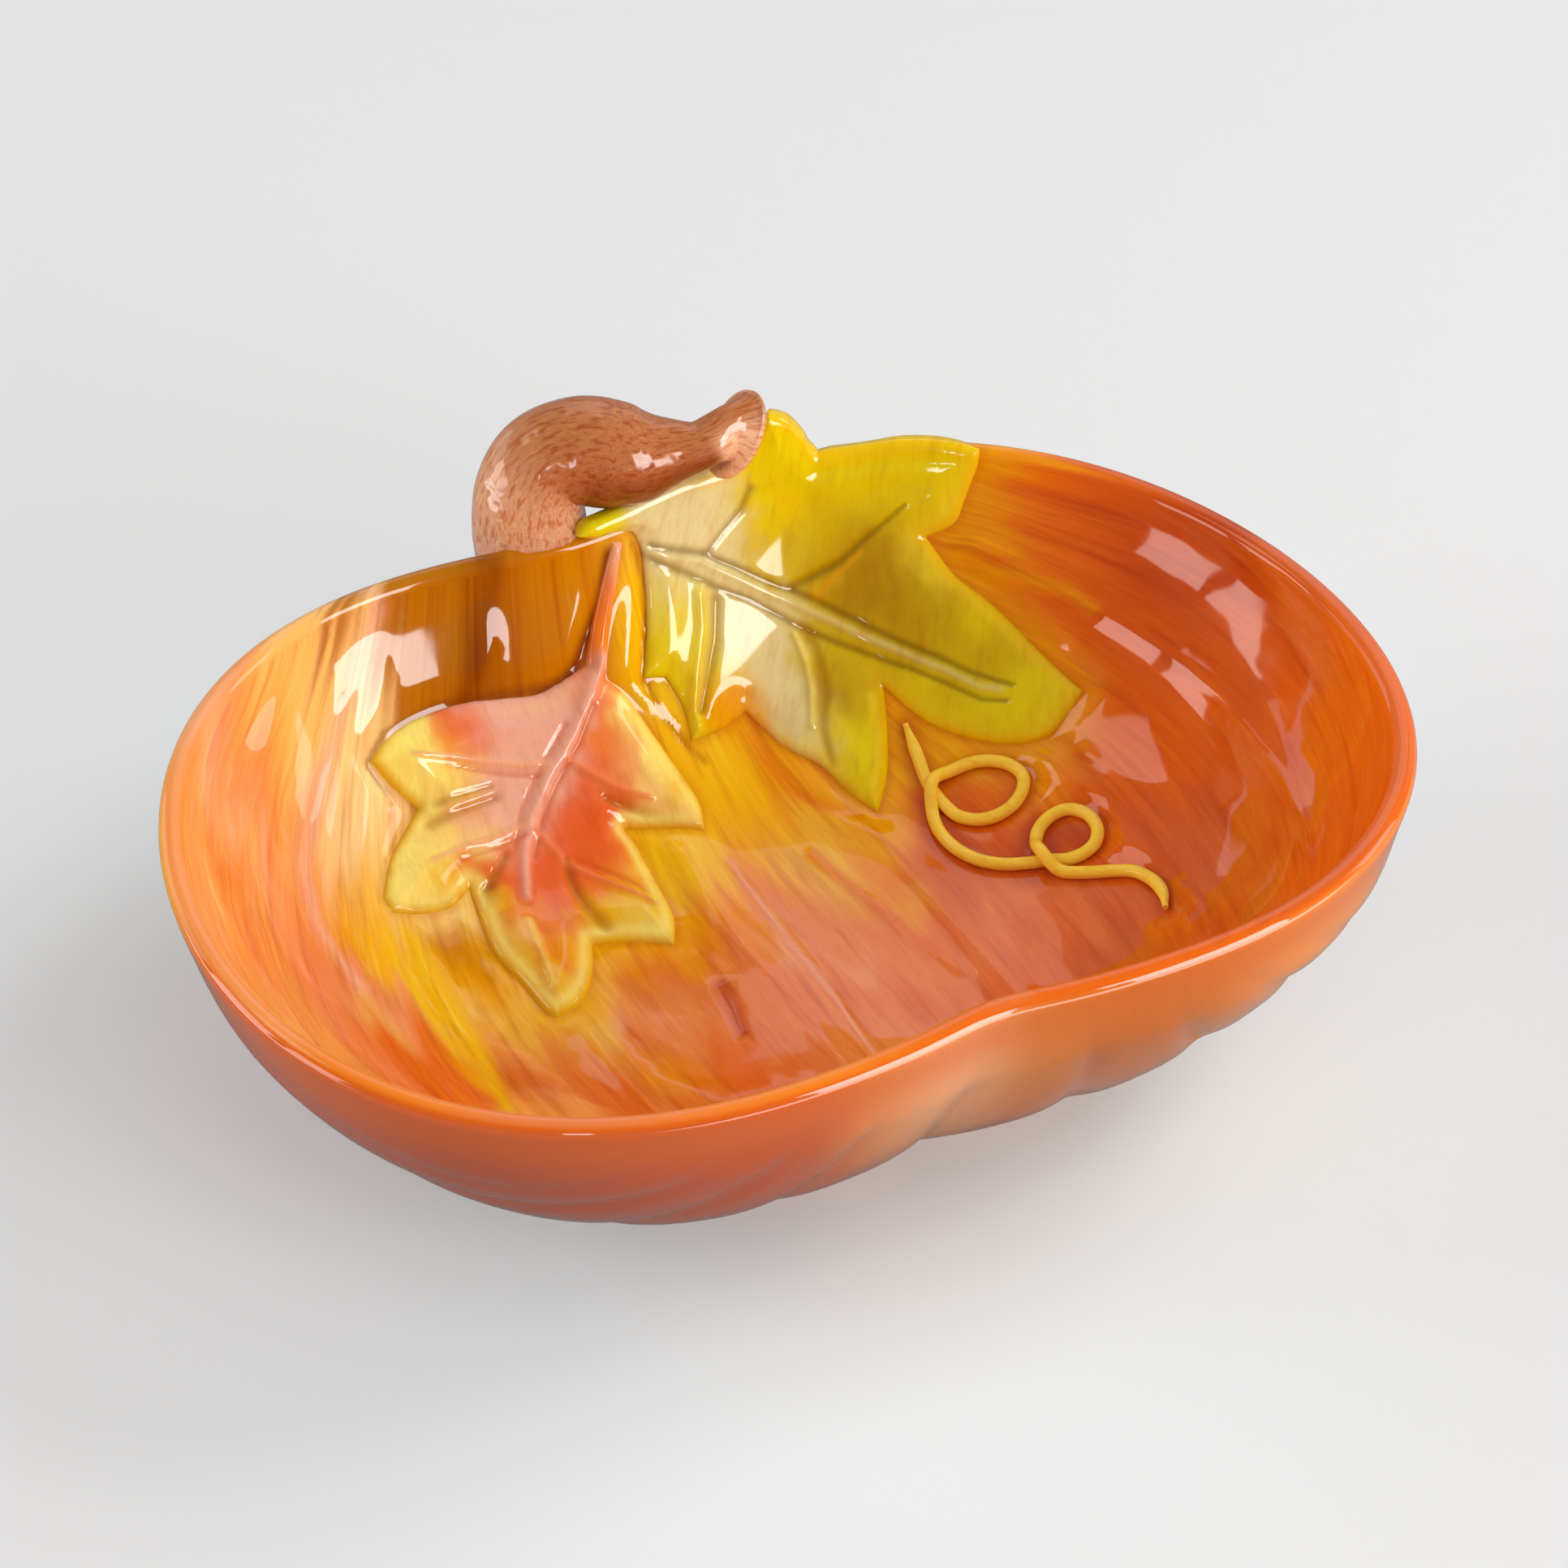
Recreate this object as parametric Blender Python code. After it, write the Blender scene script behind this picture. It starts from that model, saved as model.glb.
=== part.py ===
# Pumpkin-shaped serving bowl of glazed earthenware.
#
# The bowl is a pumpkin laid on its back and hollowed out: stem side at +Y, blossom side at -Y,
# ribs running from one to the other. A curled stem makes the handle over the back of the rim.
# A green leaf, an autumn leaf and a curled tendril are pressed onto the inside before firing.
# Units are metres, +Z is up, and the foot stands on the plane z = 0.

import bpy
import math
import numpy as np
from mathutils import Vector
from mathutils.geometry import delaunay_2d_cdt

for old in list(bpy.data.objects):
    bpy.data.objects.remove(old)

MM = 0.001

# Outline of the rim's outer edge, as a distance from the bowl's axis that changes with direction
outline_radius = 108.4 * MM
outline_shift = 4.9 * MM
outline_widening = 15.4 * MM
outline_pear = 2.5 * MM
outline_squareness = 3.4 * MM
outline_lean = 0.7 * MM
outline_skew = 0.9 * MM
front_notch_depth = 1.8 * MM
front_notch_spread_share = 0.14
back_notch_depth = 7.0 * MM
back_notch_spread_share = 0.5

# Upright sizes of the shell
bowl_height = 67.0 * MM
wall = 5.0 * MM
floor_thickness = 4.5 * MM
foot_recess = 5.0 * MM
inner_fullness_share = 3.4
outer_fullness_share = 2.85
haunch_share = 1.3
foot_reach_share = 0.52
foot_width = 6.0 * MM
foot_round = 1.0 * MM

# The wall's outer belly: how far it stands out all round, and more at the front, sides and right
belly_depth = 1.6 * MM
belly_front = 0.7 * MM
belly_sides = 0.7 * MM
belly_right = 0.7 * MM
belly_start_share = 0.06
belly_end_share = 0.2

# Pumpkin ribs: raised lines inside, grooves outside, all running from stem to blossom end
rib_height = 1.1 * MM
groove_depth = 1.5 * MM
groove_shift_share = 0.12
rib_clearing = 7.0 * MM
rib_step_share = 19.5 / 180.0
rib_sharpness_share = 1.9
rib_half_width = 121.0 * MM
rib_half_length = 100.0 * MM
rib_middle = -4.0 * MM
rib_fade_share = 0.12

# Stem handle: a spine with a radius at each point, from the foot behind the rim to the cut end,
# measured across, back from the rim's outer edge at the stem side, and up from the rim's top
stem_spine = [
    (-8.4 * MM, 3.9 * MM, -17.0 * MM, 10.4 * MM),
    (-8.1 * MM, 5.4 * MM, -9.5 * MM, 11.1 * MM),
    (-7.9 * MM, 6.7 * MM, -1.7 * MM, 11.5 * MM),
    (-7.5 * MM, 7.3 * MM, 6.2 * MM, 10.8 * MM),
    (-4.0 * MM, 7.0 * MM, 12.2 * MM, 10.4 * MM),
    (2.6 * MM, 5.2 * MM, 13.8 * MM, 10.9 * MM),
    (8.4 * MM, 3.0 * MM, 12.6 * MM, 10.9 * MM),
    (13.9 * MM, 0.4 * MM, 12.0 * MM, 9.6 * MM),
    (19.2 * MM, -2.0 * MM, 12.7 * MM, 7.0 * MM),
    (24.0 * MM, -4.0 * MM, 13.6 * MM, 5.2 * MM),
    (27.4 * MM, -4.5 * MM, 14.6 * MM, 5.0 * MM),
    (30.4 * MM, -4.3 * MM, 14.8 * MM, 6.5 * MM),
    (32.6 * MM, -3.9 * MM, 13.8 * MM, 9.7 * MM),
]
stem_lip = 1.6 * MM
stem_dish = 3.0 * MM
stem_rings_per_span = 3
stem_sides = 22
stem_foot_round_share = 0.6

# Leaves, drawn flat as they are cut from rolled clay, measured from the bowl's axis for a wall of
# the drawn length, and stretched with the wall when the bowl is made larger or deeper.
# The flat drawing is then pressed into the bowl, with its lengths kept along each direction.
drawn_wall_length = 103.3 * MM
leaf_edge = 1.3 * MM
leaf_crown = 1.5 * MM
leaf_crown_run = 9.0 * MM
vein_height = 1.1 * MM
vein_half_width = 1.5 * MM
vein_side_depth = 0.5 * MM
vein_side_offset = 2.6 * MM
vein_groove = 3.2 * MM
inset_share = 0.9
vein_step = 4.0 * MM
leaf_grid = 6.0 * MM
leaf_margin = 1.6 * MM
row_margin = 0.4 * MM
point_spacing = 1.2 * MM
grid_clearing = 3.6 * MM
outline_steps = 2
sharp_turn_share = 0.2
rim_wrap = 3.4 * MM
rim_wrap_start = 3.0 * MM
rim_wrap_run = 2.0 * MM
rim_row_step = 3.0 * MM
edge_rows = [2.6 * MM, 5.6 * MM]

green_outline = [
    (-4.4 * MM, 106.9 * MM), (-1.4 * MM, 109.0 * MM), (3.6 * MM, 109.7 * MM), (9.3 * MM, 110.1 * MM),
    (14.2 * MM, 110.5 * MM),
    (19.6 * MM, 110.8 * MM), (26.3 * MM, 111.0 * MM), (33.0 * MM, 110.9 * MM), (38.8 * MM, 110.2 * MM),
    (45.0 * MM, 109.8 * MM), (52.0 * MM, 111.6 * MM), (57.5 * MM, 114.4 * MM), (61.4 * MM, 116.6 * MM),
    (64.6 * MM, 114.4 * MM), (66.5 * MM, 112.0 * MM), (67.7 * MM, 108.1 * MM), (67.8 * MM, 105.2 * MM),
    (68.6 * MM, 102.8 * MM), (72.2 * MM, 101.8 * MM), (77.0 * MM, 99.9 * MM), (82.6 * MM, 97.6 * MM),
    (88.3 * MM, 95.1 * MM), (95.1 * MM, 90.7 * MM), (100.2 * MM, 86.1 * MM), (103.2 * MM, 82.2 * MM),
    (100.6 * MM, 80.0 * MM), (96.7 * MM, 78.2 * MM), (92.8 * MM, 76.2 * MM), (88.1 * MM, 74.1 * MM),
    (81.2 * MM, 75.5 * MM), (82.1 * MM, 66.0 * MM), (84.8 * MM, 58.5 * MM), (86.7 * MM, 50.5 * MM),
    (88.1 * MM, 40.7 * MM), (90.2 * MM, 28.6 * MM), (83.4 * MM, 26.6 * MM), (78.6 * MM, 26.0 * MM),
    (72.7 * MM, 29.0 * MM), (66.7 * MM, 35.0 * MM), (60.4 * MM, 44.0 * MM), (56.6 * MM, 55.0 * MM),
    (52.2 * MM, 46.1 * MM), (47.5 * MM, 38.2 * MM), (41.5 * MM, 31.2 * MM), (38.7 * MM, 38.2 * MM),
    (36.6 * MM, 46.4 * MM), (31.6 * MM, 53.0 * MM), (27.3 * MM, 62.0 * MM), (20.5 * MM, 60.0 * MM),
    (13.0 * MM, 59.4 * MM), (14.0 * MM, 66.5 * MM), (12.2 * MM, 73.0 * MM), (6.8 * MM, 74.2 * MM),
    (10.5 * MM, 82.0 * MM), (13.3 * MM, 91.2 * MM), (14.4 * MM, 100.0 * MM), (12.6 * MM, 104.2 * MM),
    (7.4 * MM, 105.4 * MM), (1.4 * MM, 105.4 * MM),
]
green_veins = [
    [(15.3 * MM, 108.5 * MM), (32.2 * MM, 95.4 * MM), (49.5 * MM, 78.3 * MM), (63.8 * MM, 61.9 * MM),
     (71.9 * MM, 48.4 * MM), (80.4 * MM, 37.2 * MM)],
    [(49.5 * MM, 80.0 * MM), (69.3 * MM, 84.2 * MM), (88.0 * MM, 86.5 * MM)],
    [(49.5 * MM, 78.3 * MM), (46.5 * MM, 56.0 * MM), (43.5 * MM, 40.0 * MM)],
    [(28.0 * MM, 98.0 * MM), (24.0 * MM, 82.0 * MM), (18.0 * MM, 65.0 * MM)],
    [(32.2 * MM, 95.4 * MM), (50.0 * MM, 101.0 * MM), (63.0 * MM, 112.0 * MM)],
]

autumn_outline = [
    (-3.4 * MM, 86.8 * MM), (1.2 * MM, 95.0 * MM), (6.6 * MM, 103.4 * MM), (9.6 * MM, 102.4 * MM),
    (5.6 * MM, 93.8 * MM), (1.0 * MM, 84.6 * MM), (-2.2 * MM, 76.2 * MM), (1.6 * MM, 72.0 * MM),
    (4.6 * MM, 64.6 * MM), (7.8 * MM, 54.6 * MM), (9.2 * MM, 47.2 * MM), (7.4 * MM, 41.3 * MM),
    (4.9 * MM, 42.2 * MM), (-2.0 * MM, 44.4 * MM), (-8.4 * MM, 46.4 * MM), (-7.4 * MM, 41.6 * MM),
    (-7.4 * MM, 31.5 * MM), (-8.2 * MM, 23.3 * MM), (-11.8 * MM, 16.4 * MM), (-18.6 * MM, 20.4 * MM),
    (-26.4 * MM, 22.6 * MM), (-30.5 * MM, 14.3 * MM), (-35.8 * MM, 8.4 * MM), (-42.4 * MM, 5.6 * MM),
    (-44.0 * MM, 7.2 * MM), (-44.9 * MM, 18.4 * MM), (-46.3 * MM, 26.0 * MM), (-45.6 * MM, 33.4 * MM),
    (-44.4 * MM, 42.6 * MM), (-49.7 * MM, 38.9 * MM), (-56.7 * MM, 37.8 * MM), (-63.8 * MM, 38.2 * MM),
    (-64.7 * MM, 41.7 * MM), (-60.6 * MM, 49.2 * MM), (-56.0 * MM, 54.6 * MM), (-50.2 * MM, 60.4 * MM),
    (-56.1 * MM, 65.9 * MM), (-59.8 * MM, 70.2 * MM), (-55.4 * MM, 74.0 * MM), (-48.7 * MM, 77.1 * MM),
    (-37.4 * MM, 78.9 * MM), (-27.3 * MM, 78.1 * MM), (-17.8 * MM, 77.2 * MM), (-6.6 * MM, 80.0 * MM),
]
autumn_veins = [
    [(7.5 * MM, 102.0 * MM), (2.8 * MM, 94.0 * MM), (-3.6 * MM, 83.0 * MM), (-10.0 * MM, 76.4 * MM),
     (-17.2 * MM, 66.6 * MM), (-26.6 * MM, 55.7 * MM), (-33.0 * MM, 45.0 * MM), (-36.5 * MM, 33.0 * MM),
     (-40.0 * MM, 17.0 * MM)],
    [(-20.5 * MM, 62.6 * MM), (-38.0 * MM, 68.5 * MM), (-52.0 * MM, 71.4 * MM)],
    [(-26.6 * MM, 55.7 * MM), (-42.0 * MM, 52.0 * MM), (-54.1 * MM, 46.8 * MM)],
    [(-26.6 * MM, 55.7 * MM), (-16.0 * MM, 53.6 * MM), (-3.0 * MM, 49.6 * MM)],
    [(-30.5 * MM, 49.5 * MM), (-20.0 * MM, 38.0 * MM), (-13.0 * MM, 26.8 * MM)],
]

# Tendril: one hand-rolled strand with two loops, drawn flat like the leaves
strand_radius = 1.35 * MM
strand_tip_share = 0.45
strand_route = [
    (56.4 * MM, 45.8 * MM), (54.9 * MM, 38.6 * MM), (53.3 * MM, 30.8 * MM), (53.8 * MM, 22.6 * MM),
    (55.6 * MM, 19.0 * MM), (59.0 * MM, 16.6 * MM), (63.6 * MM, 16.2 * MM), (67.6 * MM, 17.9 * MM),
    (69.9 * MM, 21.2 * MM), (69.1 * MM, 25.4 * MM), (66.0 * MM, 28.9 * MM), (62.2 * MM, 30.8 * MM),
    (57.6 * MM, 31.2 * MM), (53.6 * MM, 29.4 * MM), (50.6 * MM, 25.0 * MM), (49.2 * MM, 19.6 * MM),
    (49.6 * MM, 13.7 * MM), (51.8 * MM, 8.2 * MM), (55.2 * MM, 4.2 * MM), (58.7 * MM, 1.7 * MM),
    (63.0 * MM, -0.9 * MM), (66.0 * MM, -3.2 * MM), (69.1 * MM, -4.1 * MM), (72.3 * MM, -3.5 * MM),
    (74.7 * MM, -0.5 * MM), (75.0 * MM, 3.8 * MM), (73.0 * MM, 7.5 * MM), (69.8 * MM, 8.8 * MM),
    (66.3 * MM, 8.1 * MM), (63.6 * MM, 5.5 * MM), (62.2 * MM, 0.9 * MM), (62.7 * MM, -4.2 * MM),
    (66.3 * MM, -8.4 * MM), (71.1 * MM, -12.7 * MM), (74.2 * MM, -16.5 * MM), (75.4 * MM, -21.7 * MM),
    (74.9 * MM, -26.3 * MM), (73.0 * MM, -30.4 * MM),
]
strand_points_per_span = 2
strand_hump_length = 6.5 * MM

# What keeps neighbours apart, and how finely the shell is divided
seat_gap = 0.3 * MM
bed_gap = 0.5 * MM
bowl_spokes = 102
inner_ring_shares = [
    0.12, 0.25, 0.36, 0.45, 0.52, 0.58, 0.635, 0.685, 0.73, 0.77, 0.81, 0.845, 0.88, 0.91, 0.94, 0.965, 0.985, 1.0]
outer_ring_shares = [0.995, 0.98, 0.955, 0.92, 0.87, 0.81, 0.74, 0.66, 0.59, 0.52]
crest_steps = 4
section_samples = 120

floor_level = foot_recess + floor_thickness
side_level = bowl_height - wall / 2


def edge_radius(direction):
    """Distance from the bowl's axis to the rim's outer edge; direction 0 is the stem side."""
    behind = math.remainder(direction, math.tau)
    ahead = math.remainder(direction - math.pi, math.tau)
    radius = outline_radius - outline_shift * math.cos(direction)
    radius -= outline_widening * math.cos(2 * direction)
    radius += outline_pear * math.cos(3 * direction)
    radius -= outline_squareness * math.cos(4 * direction)
    radius += outline_lean * math.sin(direction) + outline_skew * math.sin(2 * direction)
    radius -= back_notch_depth * math.exp(-(behind / back_notch_spread_share) ** 2)
    radius -= front_notch_depth * math.exp(-(ahead / front_notch_spread_share) ** 2)
    return radius


def drop(share, fullness):
    """How far down the wall is, from 0 at the rim to 1 at the axis."""
    return (1 - min(share, 1) ** fullness) ** (1 / haunch_share)


def inner_level(share):
    return side_level - (side_level - floor_level) * drop(share, inner_fullness_share)


def outer_level(share):
    return side_level - bowl_height * drop(share, outer_fullness_share)


def smooth(value):
    value = min(max(value, 0), 1)
    return value * value * (3 - 2 * value)


def rib(x, y, shift_share=0):
    """1 along the top of a rib line, falling to 0 halfway to the next."""
    reach = rib_half_width * math.sqrt(max(1 - ((y - rib_middle) / rib_half_length) ** 2, 0.04))
    turn = math.asin(min(max(x / reach, -1), 1)) / math.pi
    return (1 - abs(math.sin(math.pi * (turn / rib_step_share + shift_share)))) ** rib_sharpness_share


def belly(direction, share):
    """How far the outer wall stands out, fading to nothing at the rim and the foot."""
    depth = belly_depth - belly_front * math.cos(direction) - belly_sides * math.cos(2 * direction)
    depth += belly_right * math.sin(direction)
    rise = smooth((1 - share) / belly_start_share)
    return depth * rise * smooth((share - foot_reach_share) / belly_end_share)


def inner_point(direction, share):
    """A point on the inside of the shell, with the rib lines raised into the bowl."""
    reach = edge_radius(direction) - wall
    radius = share * reach
    fade = smooth((1 - share) / rib_fade_share) * clearing(direction, share)
    lift = rib_height * fade * rib(radius * math.sin(direction), radius * math.cos(direction))
    return slid_point(direction, radius, inner_level(share), lift, inner_slope(share) / reach)


def clearing(direction, share):
    """0 under the leaves and the tendril, where the wall is left plain, and 1 away from them."""
    shares, radii, levels, lengths = section_table(direction)
    distance = np.interp(share, shares, lengths)
    place = (distance * math.sin(direction), distance * math.cos(direction))
    if inside(place, green_outline) or inside(place, autumn_outline):
        return 0
    lines = [closed(green_outline), closed(autumn_outline), strand_route]
    return smooth(min(line_distance(place, line) for line in lines) / rib_clearing)


def stretched(places):
    """Fits drawn places to the wall's real length at the stem side."""
    fit = section_table(0)[3][-1] / drawn_wall_length
    return [(x * fit, y * fit) for x, y in places]


def closed(outline):
    return outline + outline[:1]


def inside(place, outline):
    """Whether a flat place lies within a drawn outline."""
    crossed = False
    for start, end in zip(outline, outline[1:] + outline[:1]):
        if (start[1] > place[1]) != (end[1] > place[1]):
            share = (place[1] - start[1]) / (end[1] - start[1])
            crossed ^= place[0] < start[0] + share * (end[0] - start[0])
    return crossed


def outer_point(direction, share):
    """A point on the outside of the shell, with the grooves pressed in between the lobes."""
    reach = edge_radius(direction)
    radius = share * reach
    fade = smooth((1 - share) / rib_fade_share) * smooth((share - foot_reach_share) / rib_fade_share)
    x, y = radius * math.sin(direction), radius * math.cos(direction)
    lift = groove_depth * fade * rib(x, y, groove_shift_share) - belly(direction, share)
    return slid_point(direction, radius, outer_level(share), lift, outer_slope(share) / reach)


def inner_slope(share):
    step = rib_fade_share / section_samples
    low, high = max(share - step, 0), min(share + step, 1)
    return (inner_level(high) - inner_level(low)) / (high - low)


def outer_slope(share):
    step = rib_fade_share / section_samples
    low, high = max(share - step, 0), min(share + step, 1)
    return (outer_level(high) - outer_level(low)) / (high - low)


def slid_point(direction, radius, level, lift, slope):
    """Moves a wall point by lift, square to the wall and into the bowl."""
    length = math.hypot(slope, 1)
    radius -= lift * slope / length
    level += lift / length
    return Vector((radius * math.sin(direction), radius * math.cos(direction), level))


def section_table(direction):
    """Length along the inside from the axis outward, with the share reached at each step."""
    shares = 1 - (1 - np.linspace(0, 1, section_samples)) ** 2
    levels = np.array([inner_level(share) for share in shares])
    radii = shares * (edge_radius(direction) - wall)
    steps = np.hypot(np.diff(radii), np.diff(levels))
    return shares, radii, levels, np.concatenate([[0], np.cumsum(steps)])


def press(across, along, height, wrap=0):
    """Takes a place on the flat drawing to the bowl's inside, height above the wall there.

    Past the rim the sheet stands straight up, and wrap thickens its back over the rim's top.
    """
    direction = math.atan2(across, along)
    distance = math.hypot(across, along)
    shares, radii, levels, lengths = section_table(direction)
    if distance < lengths[-1]:
        share = np.interp(distance, lengths, shares)
        radius = np.interp(distance, lengths, radii)
        slope = inner_slope(share) / radii[-1]
        return slid_point(direction, radius, inner_level(share), height, slope)
    over = distance - lengths[-1]
    radius = radii[-1] - height + wrap * smooth((over - rim_wrap_start) / rim_wrap_run)
    level = levels[-1] + over
    return Vector((radius * math.sin(direction), radius * math.cos(direction), level))


def curve_through(points, steps):
    """Catmull-Rom points along a hand-set route, of any number of values each."""
    rows = np.array([points[0]] + list(points) + [points[-1]], dtype=float)
    found = []
    for first in range(len(points) - 1):
        a, b, c, d = rows[first:first + 4]
        for step in range(steps):
            t = step / steps
            found.append(0.5 * (2 * b + (c - a) * t + (2 * a - 5 * b + 4 * c - d) * t ** 2
                                + (3 * b - a - 3 * c + d) * t ** 3))
    found.append(rows[-1])
    return found


def ceramic(name, colour, roughness):
    material = bpy.data.materials.new(name)
    material.use_nodes = True
    shader = material.node_tree.nodes["Principled BSDF"]
    shader.inputs["Base Color"].default_value = (*colour, 1)
    shader.inputs["Roughness"].default_value = roughness
    shader.inputs["Metallic"].default_value = 0
    return material


def lofted(name, rings, start, end):
    """A closed solid through equal rings of points, with one pole point at each end."""
    sides = len(rings[0])
    points = [start] + [point for ring in rings for point in ring] + [end]
    last = len(points) - 1
    faces = []
    for side in range(sides):
        following = (side + 1) % sides
        faces.append((0, 1 + following, 1 + side))
        for ring in range(len(rings) - 1):
            low, high = 1 + ring * sides, 1 + (ring + 1) * sides
            faces.append((low + side, low + following, high + following, high + side))
        base = 1 + (len(rings) - 1) * sides
        faces.append((base + side, base + following, last))
    mesh = bpy.data.meshes.new(name)
    mesh.from_pydata(points, [], faces)
    mesh.shade_smooth()
    piece = bpy.data.objects.new(name, mesh)
    bpy.context.collection.objects.link(piece)
    return piece


def bowl_body():
    """The lobed shell: inside, rounded rim, grooved outside, foot ring and its recess."""
    directions = [math.tau * spoke / bowl_spokes for spoke in range(bowl_spokes)]
    rings = [[inner_point(d, share) for d in directions] for share in inner_ring_shares]
    for step in range(1, crest_steps + 1):
        turn = math.pi * step / crest_steps
        rings.append([crest_point(d, turn) for d in directions])
    rings += [[outer_point(d, share) for d in directions] for share in outer_ring_shares]
    rings += [[foot_point(d, inset, level) for d in directions] for inset, level in foot_section()]
    middle = Vector((0, 0, inner_level(0)))
    piece = lofted("bowl_body", rings, middle, Vector((0, 0, foot_recess)))
    piece.data.materials.append(ceramic("orange_glaze", (0.8, 0.22, 0.05), 0.12))
    return piece


def crest_point(direction, turn):
    """The half-round along the top of the wall; turn 0 is inside, pi is outside."""
    radius = edge_radius(direction) - wall / 2 - wall / 2 * math.cos(turn)
    level = side_level + wall / 2 * math.sin(turn)
    return Vector((radius * math.sin(direction), radius * math.cos(direction), level))


def foot_section():
    """Foot ring from outside to inside: how far in from the wall's last ring, and how high."""
    return [
        (foot_round, foot_round),
        (2 * foot_round, 0),
        (foot_width - foot_round, 0),
        (foot_width, foot_round),
        (foot_width + foot_round, foot_recess),
        (foot_width + 3 * foot_round, foot_recess),
    ]


def foot_point(direction, inset, level):
    radius = foot_reach_share * edge_radius(direction) - inset
    return Vector((radius * math.sin(direction), radius * math.cos(direction), level))


def line_distance(place, line):
    """Distance from a place on the flat drawing to a drawn line of straight stretches."""
    nearest = math.inf
    for start, end in zip(line, line[1:]):
        run = Vector(end) - Vector(start)
        share = min(max((Vector(place) - Vector(start)).dot(run) / run.length_squared, 0), 1)
        nearest = min(nearest, (Vector(place) - Vector(start) - share * run).length)
    return nearest


def leaf_rise(place, edge, veins):
    """Height of a leaf's upper face: crowned from the edge in, with ridged and grooved veins."""
    crown = leaf_crown * smooth(line_distance(place, closed(edge)) / leaf_crown_run)
    near = min(line_distance(place, line) for line in veins)
    ridge = vein_height * math.exp(-(near / vein_half_width) ** 2)
    groove = vein_side_depth * math.exp(-((near - vein_side_offset) / vein_half_width) ** 2)
    return leaf_edge + crown + ridge - groove * smooth(crown / leaf_crown)


def turn_at(before, corner, after):
    arriving, leaving = Vector(corner) - Vector(before), Vector(after) - Vector(corner)
    return arriving.angle(leaving) / math.pi


def rounded_outline(outline):
    """Curves the outline between its sharp tips and notches, which stay sharp."""
    count = len(outline)
    around = [turn_at(outline[i - 1], outline[i], outline[(i + 1) % count]) for i in range(count)]
    sharp = [index for index in range(count) if around[index] > sharp_turn_share]
    edge = []
    for start, end in zip(sharp, sharp[1:] + [sharp[0] + count]):
        stretch = [outline[index % count] for index in range(start, end + 1)]
        edge += [tuple(row) for row in curve_through(stretch, outline_steps)[:-1]]
    return edge


def grown_outline(edge, clearance):
    """Moves each point of a clockwise outline out by the clearance."""
    moved = []
    for before, point, after in zip(edge[-1:] + edge[:-1], edge, edge[1:] + edge[:1]):
        run = (Vector(after) - Vector(before)).normalized()
        moved.append((point[0] - run.y * clearance, point[1] + run.x * clearance))
    return moved


def vein_places(veins):
    """Places along each vein and beside it, where the upper face needs its points."""
    places = []
    for offset in (0, vein_half_width, -vein_half_width, vein_groove, -vein_groove):
        for line in veins:
            for start, end in zip(line, line[1:]):
                run = Vector(end) - Vector(start)
                across = Vector((run.y, -run.x)).normalized()
                count = max(round(run.length / vein_step), 1)
                places += [Vector(start) + run * step / count + across * offset
                           for step in range(count + 1)]
    return places


def edge_places(edge):
    """Rows of places inside the outline, along its edge."""
    places = []
    for inset in edge_rows:
        row = [Vector(point) for point in grown_outline(edge, -inset)]
        reach = inset * inset_share
        places += [place for place in row if line_distance(place, closed(edge)) > reach]
    return places


def rim_places(edge):
    """Rows of places where the sheet turns over the top of the bowl's rim."""
    directions = [math.atan2(*point) for point in edge]
    places = []
    for direction in np.arange(min(directions), max(directions), rim_row_step / outline_radius):
        length = section_table(direction)[3][-1]
        for over in (rim_wrap_start, rim_wrap_start + rim_wrap_run):
            reach = length + over
            places.append(Vector((reach * math.sin(direction), reach * math.cos(direction))))
    return places


def grid_places(edge):
    """Places of a plain triangular grid over the outline's box."""
    low, high = np.min(edge, axis=0), np.max(edge, axis=0)
    row_step = leaf_grid * math.sqrt(3) / 2
    rows = int((high[1] - low[1]) / row_step) + 1
    columns = int((high[0] - low[0]) / leaf_grid) + 1
    return [Vector((low[0] + (column + row % 2 / 2) * leaf_grid, low[1] + row * row_step))
            for row in range(rows) for column in range(columns)]


def kept_places(groups, edge):
    """Places inside the outline, group by group, each clear of the edge and of those before."""
    kept = []
    for places, spacing, margin in groups:
        for place in places:
            if not inside(place, edge) or line_distance(place, closed(edge)) < margin:
                continue
            if all((place - other).length > spacing for other in kept):
                kept.append(place)
    return kept


def sheet(edge, inner):
    """Triangles over the flat outline and its inner places."""
    flat = [Vector(point) for point in edge] + inner
    weld = leaf_margin / section_samples / section_samples
    places, _, faces, origins, _, _ = delaunay_2d_cdt(
        flat, [], [list(range(len(edge)))], 0, weld, True)
    within = [tuple(face) for face in faces
              if inside(sum((places[index] for index in face), Vector((0, 0))) / len(face), edge)]
    spots = {source: index for index, found in enumerate(origins) for source in found}
    return places, within, spots


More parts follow.
